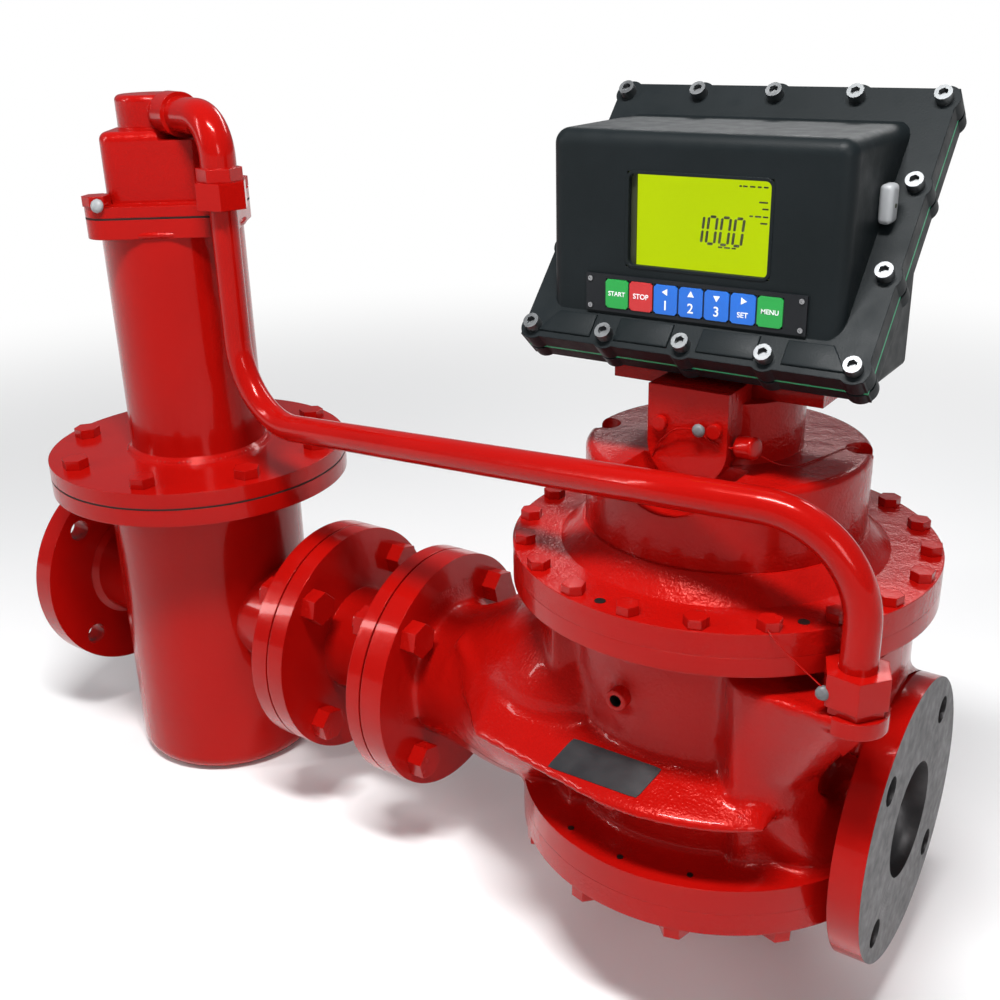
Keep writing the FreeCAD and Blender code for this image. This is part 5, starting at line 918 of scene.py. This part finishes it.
# %% Seven-bar digits
DIGIT_TALL, DIGIT_WIDE, BAR = 0.0150, 0.0050, 0.0015
DIGIT_STEP = 0.0080
DIGIT_LEAN = 0.1
FIGURE_THICK = 0.0002
BARS_OF = {"0": "abcdef", "1": "bc"}
# Where a bar stands across and above the digit's middle, and whether it lies flat
BAR_PLACES = {"a": (0, 0.5, True), "b": (0.5, 0.25, False), "c": (0.5, -0.25, False),
              "d": (0, -0.5, True), "e": (-0.5, -0.25, False), "f": (-0.5, 0.25, False)}
figure_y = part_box("display_module")[0][1] - 0.0003


def digits(number):
    """A row of seven-bar digits that starts at x = 0."""
    bm = bmesh.new()
    for place, digit in enumerate(number):
        for letter in BARS_OF[digit]:
            across, above, flat = BAR_PLACES[letter]
            wide, tall = (DIGIT_WIDE - BAR, BAR) if flat else (BAR, DIGIT_TALL / 2 - 0.6 * BAR)
            one = rounded_plate(wide, tall, BAR * 0.42, FIGURE_THICK)
            x = place * DIGIT_STEP + across * DIGIT_WIDE
            join_into(bm, moved(one, (x, 0, above * DIGIT_TALL)))
    for vert in bm.verts:
        vert.co.x += DIGIT_LEAN * vert.co.z
    return bm


make_piece("display_digits", moved(digits("1000"), (METER_X - 0.0005, figure_y, 0.3775)), "ink_black")
print("digits done")

# %% Short dashes beside the number
DASH_TALL = 0.0009
# The height of each row, and each dash's place from the meter's axis with its width
DASH_ROWS = (
    (0.4025, ((0.0235, 0.0015), (0.0262, 0.0026), (0.0305, 0.003), (0.0345, 0.0022), (0.0382, 0.0026))),
    (0.3945, ((0.0372, 0.005),)),
    (0.391, ((0.0385, 0.0035),)),
    (0.3868, ((0.0305, 0.002), (0.0345, 0.0036), (0.0388, 0.003))),
    (0.3833, ((0.038, 0.004),)),
    (0.3685, ((0.013, 0.0025), (0.0172, 0.0035), (0.0212, 0.0025))),
    (0.3728, ((0.0255, 0.0012),)),
)
dashes = bmesh.new()
for z, row in DASH_ROWS:
    for x, wide in row:
        dash = rounded_plate(wide, DASH_TALL, 0.0002, FIGURE_THICK)
        join_into(dashes, moved(dash, (METER_X + x, figure_y, z)))
make_piece("display_marks", dashes, "ink_black")
print("display figures done")

# %% [markdown]
# ## Marks on the keys
# The keys carry arrows, single digits and plain words. An arrow is a prism with three sides. The words
# come from text objects, which are made into meshes first and then laid on the keys. Each mark rides
# with its key, so that it moves when the key is pressed.

# %% Key marks
INK = 0.00012
ARROW_SIZE, ARROW_RISE, TEXT_DROP = 0.0023, 0.0045, 0.0035


def arrow(turn, radius):
    """A small three-sided prism that points to turn degrees, 0 being up."""
    flat = rotated(disc(radius, INK, 3), Matrix.Rotation(math.radians(turn), 3, "Z"))
    return rotated(flat, UPRIGHT)


def curve_mesh(curve):
    """A text's or a curve's mesh as a bmesh."""
    shape = into_scene(curve.name, curve)
    mesh = bpy.data.meshes.new_from_object(shape)
    bm = bmesh.new()
    bm.from_mesh(mesh)
    bpy.data.objects.remove(shape)
    bpy.data.meshes.remove(mesh)
    return bm


def words(text, tall):
    """Letters as a thin mesh that faces the front."""
    curve = bpy.data.curves.new("words", "FONT")
    curve.body = text
    curve.size = tall
    curve.align_x = "CENTER"
    curve.align_y = "CENTER"
    curve.extrude = INK / 2
    curve.offset = tall * 0.012
    bm = curve_mesh(curve)
    bmesh.ops.remove_doubles(bm, verts=bm.verts, dist=1e-7)
    return rotated(bm, UPRIGHT)


# Each key's word, its height, and where its arrow points
KEY_MARKS = (("START", 0.0038, None), ("STOP", 0.0042, None), ("1", 0.0078, 90), ("2", 0.0078, 0),
             ("3", 0.0078, 180), ("SET", 0.0042, -90), ("MENU", 0.0038, None))
for number, (text, tall, turn) in enumerate(KEY_MARKS, 1):
    low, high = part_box(f"key_{number}")
    x, y, z = (low[0] + high[0]) / 2, low[1] - INK / 2, (low[2] + high[2]) / 2
    if turn is None:
        ink = moved(words(text, tall), (x, y, z))
    else:
        ink = moved(words(text, tall), (x, y, z - TEXT_DROP))
        join_into(ink, moved(arrow(turn, ARROW_SIZE), (x, y, z + ARROW_RISE)))
    make_piece(f"key_mark_{number}", ink, "ink_white", body=f"key_{number}_body")
print("key marks:", len(KEY_MARKS))

# %% Screws in the strip's corners
STRIP_EDGE = 0.003
strip_low, strip_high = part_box("keypad_frame")


def strip_screw():
    """A small flat screw head with a dimple."""
    bm = disc(0.0015, 0.0010, 20)
    top = upper_end(bm)
    bmesh.ops.inset_region(bm, faces=[top], thickness=0.0007)
    bmesh.ops.inset_region(bm, faces=[top], thickness=0.0001, depth=-0.0005)
    return bm


screw_y = strip_low[1] - 0.0002
screw_places = [(x, screw_y, z) for x in (strip_low[0] + STRIP_EDGE, strip_high[0] - STRIP_EDGE)
                for z in (strip_high[2] - STRIP_EDGE, strip_low[2] + STRIP_EDGE)]
for number, place in enumerate(screw_places):
    screw = turned_to(strip_screw(), TO_FRONT, place)
    make_piece(f"strip_screw_{number}", screw, "inner_steel", smooth=30)
print("strip screws:", len(screw_places))

# %% [markdown]
# ## Seal cap
# On the register's right side stands a moulded block that a seal wire can pass through. It is an oblong
# with generous roundings, which a bevelled cube gives. A small black disc on its face is painted shade
# for the wire's hole.

# %% Seal cap
CAP_DEEP, CAP_TALL, CAP_CORNER = 0.0125, 0.0215, 0.003
CAP_HOLE, CAP_HOLE_DROP = 0.0012, 0.001


def rounded_block(size, corner):
    """A box of a given size with rounded edges."""
    bm = bmesh.new()
    bmesh.ops.create_cube(bm, size=1)
    bmesh.ops.scale(bm, verts=bm.verts, vec=size)
    return rounded(bm, bm.edges[:] + bm.verts[:], corner, 5)


cap_low, cap_high = (Vector(corner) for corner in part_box("seal_cap"))
cap_middle = (cap_low + cap_high) / 2
block = rounded_block((cap_high.x - cap_low.x, CAP_DEEP, CAP_TALL), CAP_CORNER)
cap = make_piece("seal_block", moved(block, cap_middle), "seal_grey", smooth=60)
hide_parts("seal_cap")
# A black disc on the block's face is painted shade for its wire hole
hole_shade_place = (cap_high.x, cap_middle.y, cap_middle.z - CAP_HOLE_DROP)
hole = turned_to(disc(CAP_HOLE, 0.0008, 16), Vector((1, 0, 0)), hole_shade_place)
make_piece("seal_hole_shade", hole, "ink_black")
print("seal block done")

# %% [markdown]
# ## Pads on the register's flange
# Between the screws the flange carries flat pads with slanted ends. Each is a quad drawn in the joint's
# own directions, thickened and bevelled, and then turned with the joint.

# %% Flange pads
JOINT = Vector((METER_X, -0.0025, 0.3701))
JOINT_TILT = math.radians(47.5)
FLANGE_TOP = 0.012
PAD_THICK = 0.0016
PAD_SUNK = 0.0002
PAD_OUT, PAD_IN = -0.0895, -0.0745


def joint_pad(front, back):
    """A thin bevelled pad on the tilted flange, from the two ends of its front and back edges."""
    bm = bmesh.new()
    bmesh.ops.create_grid(bm, x_segments=1, y_segments=1, size=0.5)
    for vert in bm.verts:
        (start, end), out = (front, PAD_OUT) if vert.co.y < 0 else (back, PAD_IN)
        vert.co = (start if vert.co.x < 0 else end, out, 0)
    bmesh.ops.solidify(bm, geom=bm.faces, thickness=PAD_THICK)
    bmesh.ops.recalc_face_normals(bm, faces=bm.faces)
    moved(bm, (0, 0, FLANGE_TOP - min(vert.co.z for vert in bm.verts) - PAD_SUNK))
    top = [edge for edge in bm.edges if all(vert.co.z > FLANGE_TOP for vert in edge.verts)]
    rounded(bm, top, 0.0008, 3)
    return moved(rotated(bm, Matrix.Rotation(JOINT_TILT, 3, "X")), JOINT)


# The left and right end of each pad's front edge, then of its back edge
PADS = (
    ((-0.096, -0.060), (-0.086, -0.060)),
    ((-0.044, -0.009), (-0.044, -0.009)),
    ((0.009, 0.044), (0.009, 0.044)),
    ((0.060, 0.096), (0.060, 0.086)),
)
pads = bmesh.new()
for front, back in PADS:
    join_into(pads, joint_pad(front, back))
make_piece("flange_pads", pads, "black_case", smooth=30)
print("flange pads:", len(PADS))

# %% [markdown]
# ## Seal wires and lead seals
# An inspector threads thin wire through drilled screws and closes it with a small lead seal. A wire is
# a curve with a round bevel that is turned into a mesh, so that nothing is left to work out later.

# %% Helpers for wires and seals
WIRE = 0.00045


def wire(points):
    """A thin round wire along a smooth line."""
    curve = bpy.data.curves.new("wire", "CURVE")
    curve.dimensions = "3D"
    spline = curve.splines.new("NURBS")
    spline.points.add(len(points) - 1)
    for target, place in zip(spline.points, points):
        target.co = (*place, 1)
    spline.order_u = 3
    spline.use_endpoint_u = True
    curve.bevel_depth = WIRE
    curve.bevel_resolution = 2
    curve.use_fill_caps = True
    return curve_mesh(curve)


def lead_seal(radius):
    """A pressed lead pellet."""
    bm = bmesh.new()
    bmesh.ops.create_icosphere(bm, subdivisions=2, radius=radius)
    bmesh.ops.scale(bm, verts=bm.verts, vec=(1, 1, 0.62))
    return bm


def beside(place, x=0.0, y=0.0, z=0.0):
    """A place moved by the given distances."""
    return (place[0] + x, place[1] + y, place[2] + z)


print("helpers for wires ready")

# %% Seal beside the gear housing and the drilled screw
TWIST_STEPS = 24
TWIST_TURN = 1.6
TWIST_WIDE = 0.0006
TWIST_FRONT = 0.001
TWIST_SAG = 0.004
plate_seal = Vector((METER_X + 0.0091, -0.0635, 0.2629))
drilled = Vector((METER_X + 0.036, -0.052, 0.2535))


def twisted(start, end, side):
    """One strand of a twisted pair that sags from start to end; side is 1 or -1."""
    line = []
    for step in range(TWIST_STEPS + 1):
        y = side * TWIST_WIDE * math.cos(step * TWIST_TURN) - TWIST_FRONT
        z = side * TWIST_WIDE * math.sin(step * TWIST_TURN)
        z -= TWIST_SAG * math.sin(math.pi * step / TWIST_STEPS)
        line.append(beside(start.lerp(end, step / TWIST_STEPS), y=y, z=z))
    return line


def screw_head():
    """A thick round head with a rounded rim."""
    bm = disc(0.0068, 0.012, 28)
    rim = [edge for edge in bm.edges if all(vert.co.z > 0 for vert in edge.verts)]
    return rounded(bm, rim, 0.0022, 4)


make_piece("plate_seal", turned_to(lead_seal(0.0042), TO_FRONT, plate_seal), "lead", smooth=30)
drilled_head = turned_to(screw_head(), Vector((1, -0.25, 0.15)), drilled)
make_piece("drilled_screw", drilled_head, "red_bolts", smooth=40)
make_piece("plate_wire_1", wire(twisted(plate_seal, drilled, 1)), "red_bolts")
make_piece("plate_wire_2", wire(twisted(plate_seal, drilled, -1)), "red_bolts")
loop = [beside(plate_seal, x=-0.001), beside(plate_seal, x=-0.012, z=0.0008),
        beside(plate_seal, x=-0.021, z=-0.006),
        (METER_X - 0.0205, -0.0606, 0.2465), (METER_X - 0.022, -0.0603, 0.241)]
make_piece("plate_wire_3", wire(loop), "red_bolts")
print("seal beside the gear housing done")

# %% Wire over the gear housing's drum
DRUM_TOP = 0.237
wire_z = DRUM_TOP + 0.0006
notch = Vector((METER_X + 0.0745, 0.032, DRUM_TOP - 0.003))
over_drum = [drilled, beside(drilled, x=0.012, y=0.004, z=-0.008),
             (METER_X + 0.056, -0.030, wire_z), (METER_X + 0.064, -0.004, wire_z),
             beside(notch, x=-0.003, y=-0.006, z=0.0036), notch]
make_piece("drum_wire", wire(over_drum), "red_bolts")
print("wire over the drum done")

# %% Seals at the union nut and at the air head
nut_seal = on_plane(1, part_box("lower_union_nut")[0][1] + 0.003, 823, 693)
bolt_seat = on_plane(2, COVER_RING_TOP + 0.003, 769, 622)
head_seal = on_plane(1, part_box("head_bolts")[0][1] + 0.002, 97, 206)
nut_pellet = turned_to(lead_seal(0.0045), Vector((0.5, -1, 0.2)), nut_seal)
make_piece("nut_seal", nut_pellet, "lead", smooth=30)
from_bolt = [beside(bolt_seat, y=-0.004), beside(bolt_seat, x=0.004, y=-0.011, z=-0.001),
             beside(bolt_seat.lerp(nut_seal, 0.5), y=-0.004), beside(nut_seal, z=0.003)]
make_piece("nut_wire", wire(from_bolt), "red_bolts")
loose_end = [nut_seal, beside(nut_seal, x=0.006, y=0.001, z=0.004),
             beside(nut_seal, x=0.013, y=0.003, z=0.009)]
make_piece("nut_wire_end", wire(loose_end), "red_bolts")
head_pellet = turned_to(lead_seal(0.0055), Vector((0.4, -1, 0.3)), head_seal)
make_piece("head_seal", head_pellet, "seal_grey", smooth=30)
round_head = [beside(head_seal, x=0.008, y=0.004, z=0.002), head_seal,
              beside(head_seal, x=-0.003, y=0.004, z=-0.006)]
make_piece("head_wire", wire(round_head), "red_bolts")
print("wires and seals done")

# %% Finish


print("scene done")
